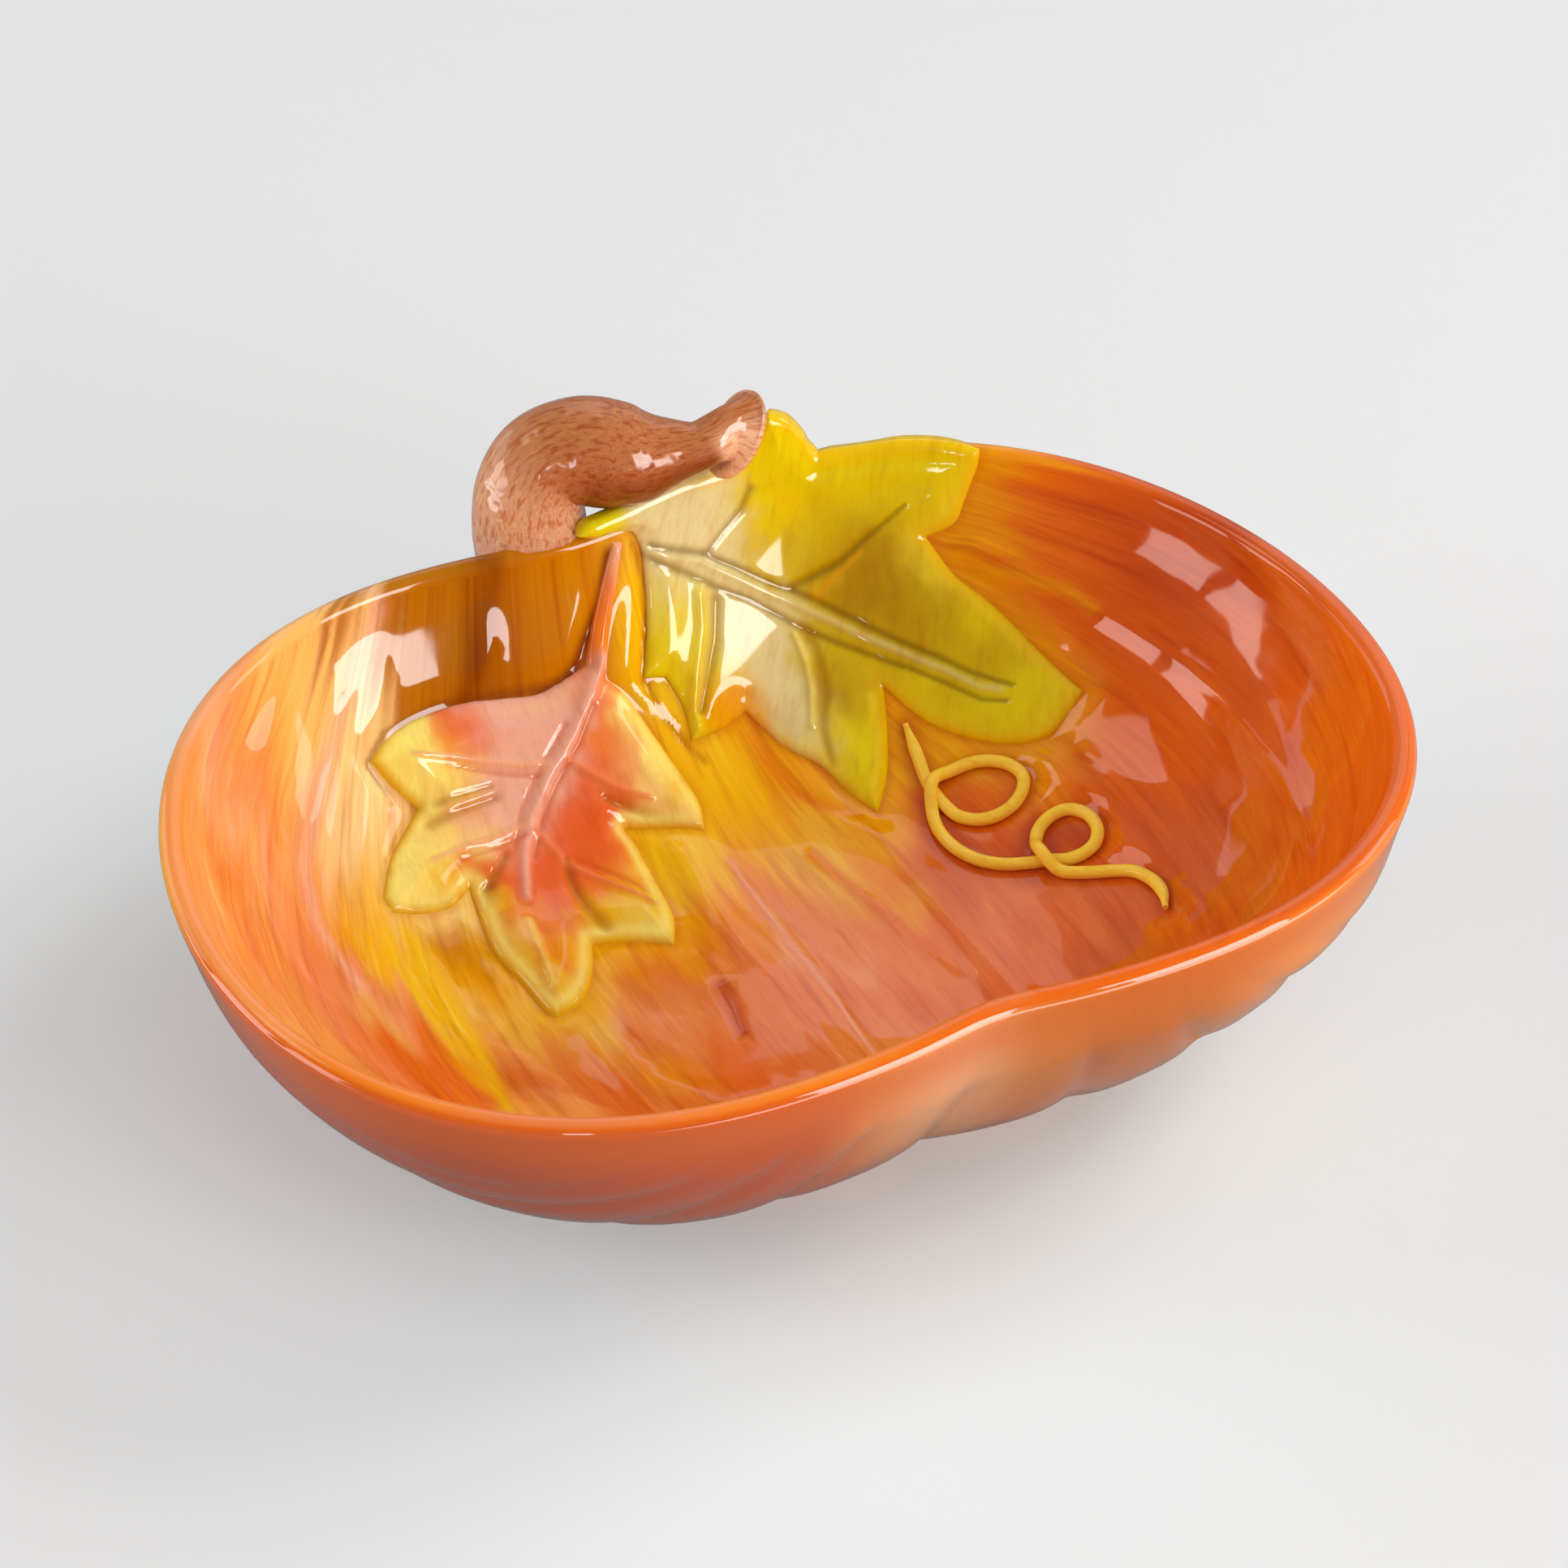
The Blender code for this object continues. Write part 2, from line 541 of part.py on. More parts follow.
def leaf(name, outline, veins, clearance=0, thickening=0):
    """A pressed leaf: flat outline, crowned and veined upper face, underside along the bowl."""
    edge = rounded_outline(outline)
    over_rim, beside_edge, plain = rim_places(edge), edge_places(edge), grid_places(edge)
    turned = (over_rim, point_spacing, row_margin)
    fine = kept_places([turned, (vein_places(veins), point_spacing, leaf_margin),
                        (beside_edge, point_spacing, leaf_margin),
                        (plain, grid_clearing, leaf_margin)], edge)
    coarse = kept_places([turned, (plain, grid_clearing, leaf_margin)], edge)
    rim = grown_outline(edge, clearance)
    base = bed_gap - clearance
    places, faces, spots = sheet(rim, fine)
    points = [press(*place, base + leaf_rise(place, edge, veins) + thickening)
              for place in places]
    under, under_faces, under_spots = sheet(rim, coarse)
    first = len(points)
    points += [press(*place, base, rim_wrap + clearance) for place in under]
    faces += [tuple(first + index for index in face[::-1]) for face in under_faces]
    for index in range(len(rim)):
        after = (index + 1) % len(rim)
        faces.append((spots[index], spots[after],
                      first + under_spots[after], first + under_spots[index]))
    mesh = bpy.data.meshes.new(name)
    mesh.from_pydata(points, [], faces)
    mesh.shade_smooth()
    piece = bpy.data.objects.new(name, mesh)
    bpy.context.collection.objects.link(piece)
    return piece


def green_leaf():
    piece = leaf("green_leaf", green_outline, green_veins)
    piece.data.materials.append(ceramic("leaf_green_glaze", (0.5, 0.45, 0.03), 0.12))
    return piece


def autumn_leaf():
    piece = leaf("autumn_leaf", autumn_outline, autumn_veins)
    piece.data.materials.append(ceramic("leaf_red_glaze", (0.75, 0.16, 0.04), 0.12))
    return piece


def crossings(flat):
    """Places along the strand, as pairs of indexes, where it lies over itself."""
    found = []
    for first in range(len(flat) - 1):
        for second in range(first + 2, len(flat) - 1):
            a, b = flat[first], flat[first + 1]
            c, d = flat[second], flat[second + 1]
            if turn_of(a, b, c) * turn_of(a, b, d) < 0 and turn_of(c, d, a) * turn_of(c, d, b) < 0:
                found.append((first, second))
    return found


def turn_of(a, b, c):
    return (b[0] - a[0]) * (c[1] - a[1]) - (b[1] - a[1]) * (c[0] - a[0])


def vine_tendril():
    """The rolled strand, which rises in a low hump where it passes over itself."""
    flat = curve_through(strand_route, strand_points_per_span)
    steps = [math.hypot(*(b - a)) for a, b in zip(flat, flat[1:])]
    lengths = np.concatenate([[0], np.cumsum(steps)])
    over = [lengths[second] for first, second in crossings(flat)]
    curve = bpy.data.curves.new("vine_tendril", "CURVE")
    curve.dimensions = "3D"
    curve.bevel_depth = strand_radius
    curve.bevel_resolution = 2
    curve.use_fill_caps = True
    spline = curve.splines.new("POLY")
    spline.points.add(len(flat) - 1)
    for index, place in enumerate(flat):
        humps = [smooth(1 - abs(lengths[index] - at) / strand_hump_length) for at in over]
        height = bed_gap + strand_radius + (2 * strand_radius + seat_gap) * max(humps)
        spline.points[index].co = (*press(*place, height), 1)
        near_end = min(lengths[index], lengths[-1] - lengths[index]) / strand_hump_length
        spline.points[index].radius = strand_tip_share + (1 - strand_tip_share) * smooth(near_end)
    piece = bpy.data.objects.new("vine_tendril", curve)
    bpy.context.collection.objects.link(piece)
    curve.materials.append(ceramic("tendril_glaze", (0.85, 0.42, 0.05), 0.12))
    return piece


def steady_ring(centre, along, radius, side):
    """A ring whose first side follows the last ring's, so the tube doesn't twist."""
    side = (side - side.dot(along) * along).normalized()
    up = along.cross(side)
    turns = [math.tau * step / stem_sides for step in range(stem_sides)]
    ring = [centre + radius * (math.cos(t) * side + math.sin(t) * up) for t in turns]
    return ring, side


def stem_handle():
    """The curled stem, a swept round bar that flares to a dished cut end."""
    route = curve_through(stem_spine, stem_rings_per_span)
    rim = edge_radius(0)
    centres = [Vector((x, rim + back, side_level + wall / 2 + z)) for x, back, z, radius in route]
    radii = [float(row[3]) for row in route]
    side = Vector((0, 1, 0))
    rings = []
    for index, centre in enumerate(centres):
        ahead = centres[min(index + 1, len(centres) - 1)]
        behind = centres[max(index - 1, 0)]
        along = (ahead - behind).normalized()
        ring, side = steady_ring(centre, along, radii[index], side)
        rings.append(ring)
    first = (centres[1] - centres[0]).normalized()
    start_ring, _ = steady_ring(centres[0] - first * stem_lip, first,
                                radii[0] * stem_foot_round_share, Vector((0, 1, 0)))
    last = (centres[-1] - centres[-2]).normalized()
    lip, side = steady_ring(centres[-1] + last * stem_lip, last, radii[-1], side)
    dish_edge, side = steady_ring(centres[-1] + last * stem_lip, last, radii[-1] - stem_lip, side)
    dish, side = steady_ring(centres[-1] - last * stem_dish / 2, last, radii[-1] / 2, side)
    rings = [start_ring] + rings + [lip, dish_edge, dish]
    start = centres[0] - first * stem_lip
    piece = lofted("stem_handle", rings, start, centres[-1] - last * stem_dish)
    piece.data.materials.append(ceramic("stem_glaze", (0.38, 0.16, 0.08), 0.2))
    for cutter in (shell_cutter(), leaf_cutter()):
        cut = piece.modifiers.new("seat", "BOOLEAN")
        cut.operation = "DIFFERENCE"
        cut.solver = "EXACT"
        cut.object = cutter
    return piece


def hidden(cutter):
    cutter.hide_render = True
    cutter.display_type = "WIRE"
    return cutter


def shell_cutter():
    """The bowl's outer form, filled to the rim and grown by the gap, that the stem sits on."""
    directions = [math.tau * spoke / bowl_spokes for spoke in range(bowl_spokes)]
    lid = side_level + wall / 2 + seat_gap
    rings = []
    for step in range(crest_steps // 2, crest_steps + 1):
        turn = math.pi * step / crest_steps
        rings.append([grown(crest_point(d, turn), d, turn) for d in directions])
    for share in outer_ring_shares:
        rings.append([outward(d, share) for d in directions])
    cutter = lofted("shell_seat", rings, Vector((0, 0, lid)), Vector((0, 0, foot_recess)))
    return hidden(cutter)


def grown(point, direction, turn):
    """Moves a rim point out by the gap, square to the half-round."""
    across = -math.cos(turn) * seat_gap
    return point + Vector((across * math.sin(direction), across * math.cos(direction),
                           math.sin(turn) * seat_gap))


def outward(direction, share):
    """A point of the plain outer wall, out by the gap, square to the wall."""
    reach = edge_radius(direction)
    slope = outer_slope(share) / reach
    lift = -seat_gap - belly(direction, share)
    return slid_point(direction, share * reach, outer_level(share), lift, slope)


def leaf_cutter():
    """The green leaf grown by the gap on every side, that the stem is bedded on."""
    cutter = leaf("leaf_seat", green_outline, green_veins, seat_gap, 2 * seat_gap)
    return hidden(cutter)


def centre_on_footprint(pieces):
    """Puts the origin under the middle of the whole outline, on the table."""
    bpy.context.view_layer.update()
    depsgraph = bpy.context.evaluated_depsgraph_get()
    places = []
    for piece in pieces:
        mesh = piece.evaluated_get(depsgraph).to_mesh()
        places += [tuple(vertex.co) for vertex in mesh.vertices]
    low, high = np.min(places, axis=0), np.max(places, axis=0)
    anchor = bpy.data.objects.new("bowl_origin", None)
    bpy.context.collection.objects.link(anchor)
    anchor.location = (-(low[0] + high[0]) / 2, -(low[1] + high[1]) / 2, 0)
    for piece in bpy.data.objects:
        if piece is not anchor:
            piece.parent = anchor


green_outline, autumn_outline = stretched(green_outline), stretched(autumn_outline)
green_veins = [stretched(line) for line in green_veins]
autumn_veins = [stretched(line) for line in autumn_veins]
strand_route = stretched(strand_route)
pieces = [bowl_body(), stem_handle(), green_leaf(), autumn_leaf(), vine_tendril()]
centre_on_footprint(pieces)
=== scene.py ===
# %% [markdown]
# # A glazed pumpkin bowl
#
# The bowl is cast clay with rolled and cut ornament, brushed with coloured glazes and fired until they flow
# and shine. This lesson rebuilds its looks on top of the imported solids: a finer shell, two pressed leaves,
# a rolled tendril and a curled stem, each with brushed glaze colours.

import bpy
import math
import numpy as np
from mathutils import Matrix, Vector
from mathutils.geometry import delaunay_2d_cdt


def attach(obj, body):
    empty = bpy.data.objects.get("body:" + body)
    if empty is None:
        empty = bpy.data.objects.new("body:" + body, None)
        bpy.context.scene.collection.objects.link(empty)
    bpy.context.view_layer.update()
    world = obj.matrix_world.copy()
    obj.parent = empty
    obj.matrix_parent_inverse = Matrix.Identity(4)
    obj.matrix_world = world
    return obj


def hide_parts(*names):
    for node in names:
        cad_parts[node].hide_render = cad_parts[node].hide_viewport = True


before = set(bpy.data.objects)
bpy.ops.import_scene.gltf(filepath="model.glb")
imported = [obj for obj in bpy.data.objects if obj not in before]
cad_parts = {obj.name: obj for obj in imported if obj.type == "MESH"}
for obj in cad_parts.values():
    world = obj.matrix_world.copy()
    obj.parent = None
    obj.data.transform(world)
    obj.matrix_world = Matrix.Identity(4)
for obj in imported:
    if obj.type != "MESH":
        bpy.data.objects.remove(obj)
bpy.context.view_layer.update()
print("packed nodes:", sorted(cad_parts))

# %% [markdown]
# ## Looking at the bowl
#
# The camera stands a good metre away and looks down at about 37 degrees with a long lens, so the bowl keeps
# its true proportions. The aim is the middle of the rim.

# %% Camera
MM = 0.001
AXIS_X, AXIS_Y = -0.5294, -2.3752
CREST = 67.0
FRAME_PIXELS, SENSOR = 1932, 36
PIXELS_PER_MM = 6.51995
PIXELS_RIGHT, PIXELS_DOWN = 20.898, 53.811

camera_data = bpy.data.cameras.new("viewpoint")
camera = bpy.data.objects.new("viewpoint", camera_data)
bpy.context.collection.objects.link(camera)
turn, rise, distance = math.radians(27.648), math.radians(37.049), 1.1
aim = Vector((AXIS_X * MM, AXIS_Y * MM, CREST * MM))
away = Vector((-math.cos(rise) * math.sin(turn), -math.cos(rise) * math.cos(turn), math.sin(rise)))
camera.location = aim + distance * away
camera.rotation_euler = (-away).to_track_quat("-Z", "Y").to_euler()
camera_data.sensor_width = SENSOR
camera_data.lens = PIXELS_PER_MM * distance * 1000 / FRAME_PIXELS * SENSOR
camera_data.shift_x = PIXELS_RIGHT / FRAME_PIXELS
camera_data.shift_y = -PIXELS_DOWN / FRAME_PIXELS
camera_data.clip_end = 20
bpy.context.scene.camera = camera
print("lens", round(camera_data.lens, 1), "mm")

# %% [markdown]
# ## The room's glow
#
# Glaze is read by what it mirrors. A plain grey room would do, but a real one is a little brighter on one
# side, so mirror rays meet a faint glow at the back, while all other rays meet an even grey. The nodes are
# added by one small helper, which links an input that is given as a socket and sets any other.

# %% Node helper
def add_node(tree, kind, inputs, **settings):
    """Adds a shader node with its settings and inputs."""
    node = tree.nodes.new("ShaderNode" + kind)
    for name, value in settings.items():
        setattr(node, name, value)
    for name, value in inputs.items():
        if isinstance(value, bpy.types.NodeSocket):
            tree.links.new(value, node.inputs[name])
        else:
            node.inputs[name].default_value = value
    return node


# %% Room glow
GLOW_SIDE = (0.36, 0.80, 0.47)
ROOM_GREY, ROOM_COLOUR = 0.40, (1.0, 0.99, 0.975, 1)

scene = bpy.context.scene
scene.view_settings.view_transform = "Standard"
room = bpy.data.worlds.new("room")
scene.world = room
room.use_nodes = True
tree = room.node_tree
outwards = add_node(tree, "TexCoord", {}).outputs["Generated"]
facing = add_node(tree, "VectorMath", {0: outwards, 1: GLOW_SIDE}, operation="DOT_PRODUCT")
glow = add_node(tree, "MapRange", {"Value": facing.outputs["Value"], "From Min": 0.45, "From Max": 0.95,
                                   "To Min": 0.08, "To Max": 0.32}, interpolation_type="SMOOTHSTEP")
sight = add_node(tree, "LightPath", {})
strength = add_node(tree, "Mix", {0: sight.outputs["Is Glossy Ray"], 2: ROOM_GREY, 3: glow.outputs["Result"]})
background = tree.nodes["Background"]
background.inputs["Color"].default_value = ROOM_COLOUR
tree.links.new(strength.outputs[0], background.inputs["Strength"])
print("room nodes:", len(tree.nodes))

# %% [markdown]
# ## Windows and soft boxes
#
# Bright windows leave small crisp shapes in the glaze, but the shading on paper and clay comes from broad
# soft light. One lamp can't easily do both, so the panels come in two sets: windows and cards that only a
# mirror ray sees, and soft boxes that light everything and stay out of the mirror.

# %% Panels
def panel(name, azimuth, elevation, distance, width, height, radiance, colour=(1, 1, 1)):
    """An area lamp that faces the bowl, with its power set from how bright its face is."""
    data = bpy.data.lights.new(name, "AREA")
    data.shape = "RECTANGLE"
    data.size, data.size_y = width, height
    data.energy = radiance * math.pi * width * height
    data.color = colour
    lamp = bpy.data.objects.new(name, data)
    bpy.context.collection.objects.link(lamp)
    azimuth, elevation = math.radians(azimuth), math.radians(elevation)
    toward = Vector((math.sin(azimuth) * math.cos(elevation), math.cos(azimuth) * math.cos(elevation),
                     math.sin(elevation)))
    lamp.location = Vector((0, 0, 0.04)) + distance * toward
    lamp.rotation_euler = (-toward).to_track_quat("-Z", "Y").to_euler()
    return lamp


EVENING = (1.0, 0.86, 0.77)
mirror_only = (panel("front_window", 148, 12, 2.0, 0.98, 1.15, 9.0),
               panel("left_window_near", -79, 9, 2.0, 0.56, 0.85, 4.4, EVENING),
               panel("left_window_far", -57, 9, 2.0, 0.66, 0.85, 4.4, EVENING),
               panel("left_window_high", -46, 46, 2.0, 0.6, 0.5, 2.0, (1.0, 0.88, 0.80)),
               panel("door_gap", -149, 12, 2.0, 0.20, 0.34, 9.0),
               panel("right_sheet", 102, 14, 2.0, 0.60, 0.80, 2.5),
               panel("back_card", 37, 41, 2.2, 1.5, 1.35, 0.62),
               panel("side_card", 62, 12, 2.2, 1.4, 0.85, 0.3),
               panel("left_card", -27, 12, 2.2, 1.2, 1.0, 0.95))
for lamp in mirror_only:
    lamp.visible_diffuse = False
light_only = (panel("front_softbox", 153, 13, 2.0, 1.15, 1.10, 6.5),
              panel("left_softbox", -63, 15, 2.0, 1.32, 1.15, 5.6),
              panel("right_softbox", 102, 14, 2.0, 0.60, 0.80, 2.5),
              panel("key_softbox", 94, 40, 2.2, 1.3, 1.1, 4.4),
              panel("top_softbox", 172, 52, 2.2, 1.5, 1.3, 1.3))
for lamp in light_only:
    lamp.visible_glossy = False
print("panels:", len(mirror_only), "mirrored,", len(light_only), "soft")

# %% [markdown]
# ## The paper floor
#
# The bowl stands on pale paper. Seen by the camera the paper is light, but for other rays it is darker, so
# that it doesn't fill the glaze with white. Orange light that the bowl throws on the paper is evened out
# close to the foot. Two gleams on the paper are seen only in the mirror, as bright patches low in the
# glaze.

# %% Floor
BOUNCE_REACH, BOUNCE_TINT = 0.23, (1.03, 1.19, 1.22, 1)
GLEAMS, GLEAM_RADIUS = ((0.27, -0.62, 0), (-0.84, 0.36, 0)), 0.46

bpy.ops.mesh.primitive_plane_add(size=12)
floor = bpy.context.object
floor.name = "floor"
floor.location = (0, 0, -0.0002)
floor_paper = bpy.data.materials.new("floor_paper")
floor_paper.use_nodes = True
tree = floor_paper.node_tree
tree.nodes.clear()
sight = add_node(tree, "LightPath", {})
place = add_node(tree, "TexCoord", {}).outputs["Object"]
shade = add_node(tree, "MapRange", {"Value": sight.outputs["Is Camera Ray"], "To Min": 0.34, "To Max": 0.77})
near = add_node(tree, "VectorMath", {0: place}, operation="LENGTH")
bounced = add_node(tree, "MapRange", {"Value": near.outputs["Value"], "From Min": BOUNCE_REACH,
                                      "From Max": 0.05}, interpolation_type="SMOOTHERSTEP")
evened = add_node(tree, "Mix", {0: bounced.outputs["Result"], 6: (1, 1, 1, 1), 7: BOUNCE_TINT},
                  data_type="RGBA")
tint = add_node(tree, "VectorMath", {0: evened.outputs[2], 1: shade.outputs["Result"]}, operation="MULTIPLY")
paper = add_node(tree, "BsdfDiffuse", {"Color": tint.outputs["Vector"]})
shine = add_node(tree, "Emission", {"Color": (0.806, 0.806, 0.806, 1)})
share = add_node(tree, "Math", {0: sight.outputs["Is Camera Ray"], 1: 0.15}, operation="MULTIPLY")
sheet = add_node(tree, "MixShader", {0: share.outputs[0], 1: paper.outputs[0], 2: shine.outputs[0]})
first, second = (add_node(tree, "VectorMath", {0: place, 1: middle}, operation="DISTANCE")
                 for middle in GLEAMS)
nearer = add_node(tree, "Math", {0: first.outputs["Value"], 1: second.outputs["Value"]}, operation="MINIMUM")
patch = add_node(tree, "MapRange", {"Value": nearer.outputs[0], "From Min": GLEAM_RADIUS, "From Max": 0.36},
                 interpolation_type="SMOOTHSTEP")
seen = add_node(tree, "Math", {0: patch.outputs["Result"], 1: sight.outputs["Is Glossy Ray"]},
                operation="MULTIPLY")
gleam = add_node(tree, "Emission", {"Strength": 6.0})
lit = add_node(tree, "MixShader", {0: seen.outputs[0], 1: sheet.outputs[0], 2: gleam.outputs[0]})
add_node(tree, "OutputMaterial", {0: lit.outputs[0]})
floor.data.materials.append(floor_paper)
print("floor nodes:", len(tree.nodes))

# %% [markdown]
# ## The shape of the wall
#
# The shell is one curve, the rim's outline, with an inner and an outer wall that fall away from it. The
# same formulas that shaped the solids are used here on whole arrays of points, in millimetres from the
# bowl's axis.

# %% Wall shape
WALL, FLOOR_LEVEL, SIDE_LEVEL, RECESS = 5.0, 9.5, 64.5, 5.0
FOOT_SHARE, RIM_FADE, RIM_MARGIN = 0.52, 0.12, 0.06
INNER_FULLNESS, OUTER_FULLNESS = 3.4, 2.85
RIB_SPACING, RIBS_ACROSS, RIBS_ALONG, RIBS_MIDDLE = 19.5 / 180.0, 121.0, 100.0, 4.0


def eased(value):
    """0 below 0, 1 above 1, and a soft step between."""
    value = np.clip(value, 0, 1)
    return value * value * (3 - 2 * value)


def edge_radius(direction):
    """Distance from the axis to the rim's outer edge; direction 0 is the stem side."""
    behind = np.remainder(direction + math.pi, math.tau) - math.pi
    ahead = np.remainder(direction, math.tau) - math.pi
    waves = -4.9 * np.cos(direction) - 15.4 * np.cos(2 * direction) + 2.5 * np.cos(3 * direction)
    waves = waves - 3.4 * np.cos(4 * direction) + 0.7 * np.sin(direction) + 0.9 * np.sin(2 * direction)
    return 108.4 + waves - 7.0 * np.exp(-(behind / 0.5) ** 2) - 1.8 * np.exp(-(ahead / 0.14) ** 2)


def wall_drop(share, fullness):
    """How far the wall has dropped, 1 at the axis and 0 at the rim; a fuller wall drops later."""
    return (1 - np.minimum(share, 1) ** fullness) ** (1 / 1.3)


def inner_level(share):
    return SIDE_LEVEL - (SIDE_LEVEL - FLOOR_LEVEL) * wall_drop(share, INNER_FULLNESS)


def outer_level(share):
    return SIDE_LEVEL - CREST * wall_drop(share, OUTER_FULLNESS)


def slope_of(level, share):
    """How steeply a wall rises at a share of its reach."""
    low, high = np.maximum(share - 0.001, 0), np.minimum(share + 0.001, 1)
    return (level(high) - level(low)) / (high - low)


def line_reach(y):
    """How far out the rib lines run at y, like the meridians of a globe."""
    return RIBS_ACROSS * np.sqrt(np.maximum(1 - ((y + RIBS_MIDDLE) / RIBS_ALONG) ** 2, 0.04))


def rib_turn(x, y):
    """Which way round the pumpkin a place lies, the same all along one line from stem to blossom end."""
    return np.arcsin(np.clip(x / line_reach(y), -1, 1)) / math.pi


def rib(x, y, shift=0.0):
    """1 along the top of a rib line, falling softly to 0 halfway to the next."""
    swing = np.sin(math.pi * (rib_turn(x, y) / RIB_SPACING + shift))
    return np.maximum(1 - np.sqrt(swing ** 2 + 0.006), 0) ** 1.9


def flare(share):
    """How far the inside swells just below the rim, so that the wall above it leans out."""
    down = (1 - share) / RIM_FADE
    return 0.9 * down * np.exp(1 - down)


def belly(direction, share):
    """How far the outer wall stands out between the rim and the foot."""
    depth = 1.6 - 0.7 * np.cos(direction) - 0.7 * np.cos(2 * direction) + 0.7 * np.sin(direction)
    return depth * eased((1 - share) / RIM_MARGIN) * eased((share - FOOT_SHARE) / 0.2)


def round_axis(direction, radius, level):
    """Points at a radius and a level around the bowl's axis."""
    return np.stack(np.broadcast_arrays(radius * np.sin(direction), radius * np.cos(direction), level), -1)


def slid(direction, radius, level, lift, slope):
    """Moves wall points by lift, square to the wall and into the bowl."""
    length = np.hypot(slope, 1)
    return round_axis(direction, radius - lift * slope / length, level + lift / length)


SHARES = 1 - (1 - np.linspace(0, 1, 160)) ** 2


def wall_lengths(direction):
    """Lengths along the inside from the axis out, one row of them for each direction."""
    radii = SHARES[None, :] * (edge_radius(direction)[:, None] - WALL)
    steps = np.hypot(np.diff(radii, axis=1), np.diff(inner_level(SHARES))[None, :])
    return radii, np.concatenate([np.zeros((len(direction), 1)), np.cumsum(steps, axis=1)], 1)


def pressed(flat, height, wrap=0.0, wrap_start=2.4):
    """Takes flat places to the bowl's inside, height above the wall, and upright past the rim."""
    direction = np.arctan2(flat[:, 0], flat[:, 1])
    distance = np.hypot(flat[:, 0], flat[:, 1])
    radii, lengths = wall_lengths(direction)
    index = np.clip((lengths < distance[:, None]).sum(1) - 1, 0, len(SHARES) - 2)
    each = np.arange(len(flat))
    start, end = lengths[each, index], lengths[each, index + 1]
    part = np.clip((distance - start) / (end - start), 0, 1)
    share = SHARES[index] + part * (SHARES[index + 1] - SHARES[index])
    inside = slid(direction, share * radii[:, -1], inner_level(share), height,
                  slope_of(inner_level, share) / radii[:, -1])
    over = distance - lengths[:, -1]
    radius = radii[:, -1] - height + wrap * eased((over - wrap_start) / 2.0)
    upright = round_axis(direction, radius, SIDE_LEVEL + over)
    return np.where((over > 0)[:, None], upright, inside)


def placed(points):
    """From millimetres off the bowl's axis to metres in the shared frame."""
    return (points + (AXIS_X, AXIS_Y, 0)) * MM


# %% [markdown]
# ## Drawn outlines
#
# The leaves and the tendril are drawn flat, like shapes cut from rolled clay, by a few chosen points.
# Distances to these lines steer the relief and the glaze: a leaf is rounded at its margin and yellow there,
# and clay beside a leaf is painted darker, as painted shade.

# %% Flat drawings
STRETCH = wall_lengths(np.array([0.0]))[1][0, -1] / 103.3


def drawn(points):
    """A flat drawing in real millimetres on this wall."""
    return STRETCH * np.array(points, dtype=float)


green_outline = drawn([
    (-4.4, 106.9), (-1.4, 109.0), (3.6, 109.7), (9.3, 110.1), (14.2, 110.5), (19.6, 110.8), (26.3, 111.0),
    (33.0, 110.9), (38.8, 110.2), (45.0, 109.8), (52.0, 111.6), (57.5, 114.4), (61.4, 116.6), (64.6, 114.4),
    (66.5, 112.0), (67.7, 108.1), (67.8, 105.2), (68.6, 102.8), (72.2, 101.8), (77.0, 99.9), (82.6, 97.6),
    (88.3, 95.1), (95.1, 90.7), (100.2, 86.1), (103.2, 82.2), (100.6, 80.0), (96.7, 78.2), (92.8, 76.2),
    (88.1, 74.1), (81.2, 75.5), (82.1, 66.0), (84.8, 58.5), (86.7, 50.5), (88.1, 40.7), (90.2, 28.6),
    (83.4, 26.6), (78.6, 26.0), (72.7, 29.0), (66.7, 35.0), (60.4, 44.0), (56.6, 55.0), (52.2, 46.1),
    (47.5, 38.2), (41.5, 31.2), (38.7, 38.2), (36.6, 46.4), (31.6, 53.0), (27.3, 62.0), (20.5, 60.0),
    (13.0, 59.4), (14.0, 66.5), (12.2, 73.0), (6.8, 74.2), (10.5, 82.0), (13.3, 91.2), (14.4, 100.0),
    (12.6, 104.2), (7.4, 105.4), (1.4, 105.4)])
autumn_outline = drawn([
    (-3.4, 86.8), (1.2, 95.0), (6.6, 103.4), (9.6, 102.4), (5.6, 93.8), (1.0, 84.6), (-2.2, 76.2),
    (1.6, 72.0), (4.6, 64.6), (7.8, 54.6), (9.2, 47.2), (7.4, 41.3), (4.9, 42.2), (-2.0, 44.4),
    (-8.4, 46.4), (-7.4, 41.6), (-7.4, 31.5), (-8.2, 23.3), (-11.8, 16.4), (-18.6, 20.4), (-26.4, 22.6),
    (-30.5, 14.3), (-35.8, 8.4), (-42.4, 5.6), (-44.0, 7.2), (-44.9, 18.4), (-46.3, 26.0), (-45.6, 33.4),
    (-44.4, 42.6), (-49.7, 38.9), (-56.7, 37.8), (-63.8, 38.2), (-64.7, 41.7), (-60.6, 49.2),
    (-56.0, 54.6), (-50.2, 60.4), (-56.1, 65.9), (-59.8, 70.2), (-55.4, 74.0), (-48.7, 77.1),
    (-37.4, 78.9), (-27.3, 78.1), (-17.8, 77.2), (-6.6, 80.0)])
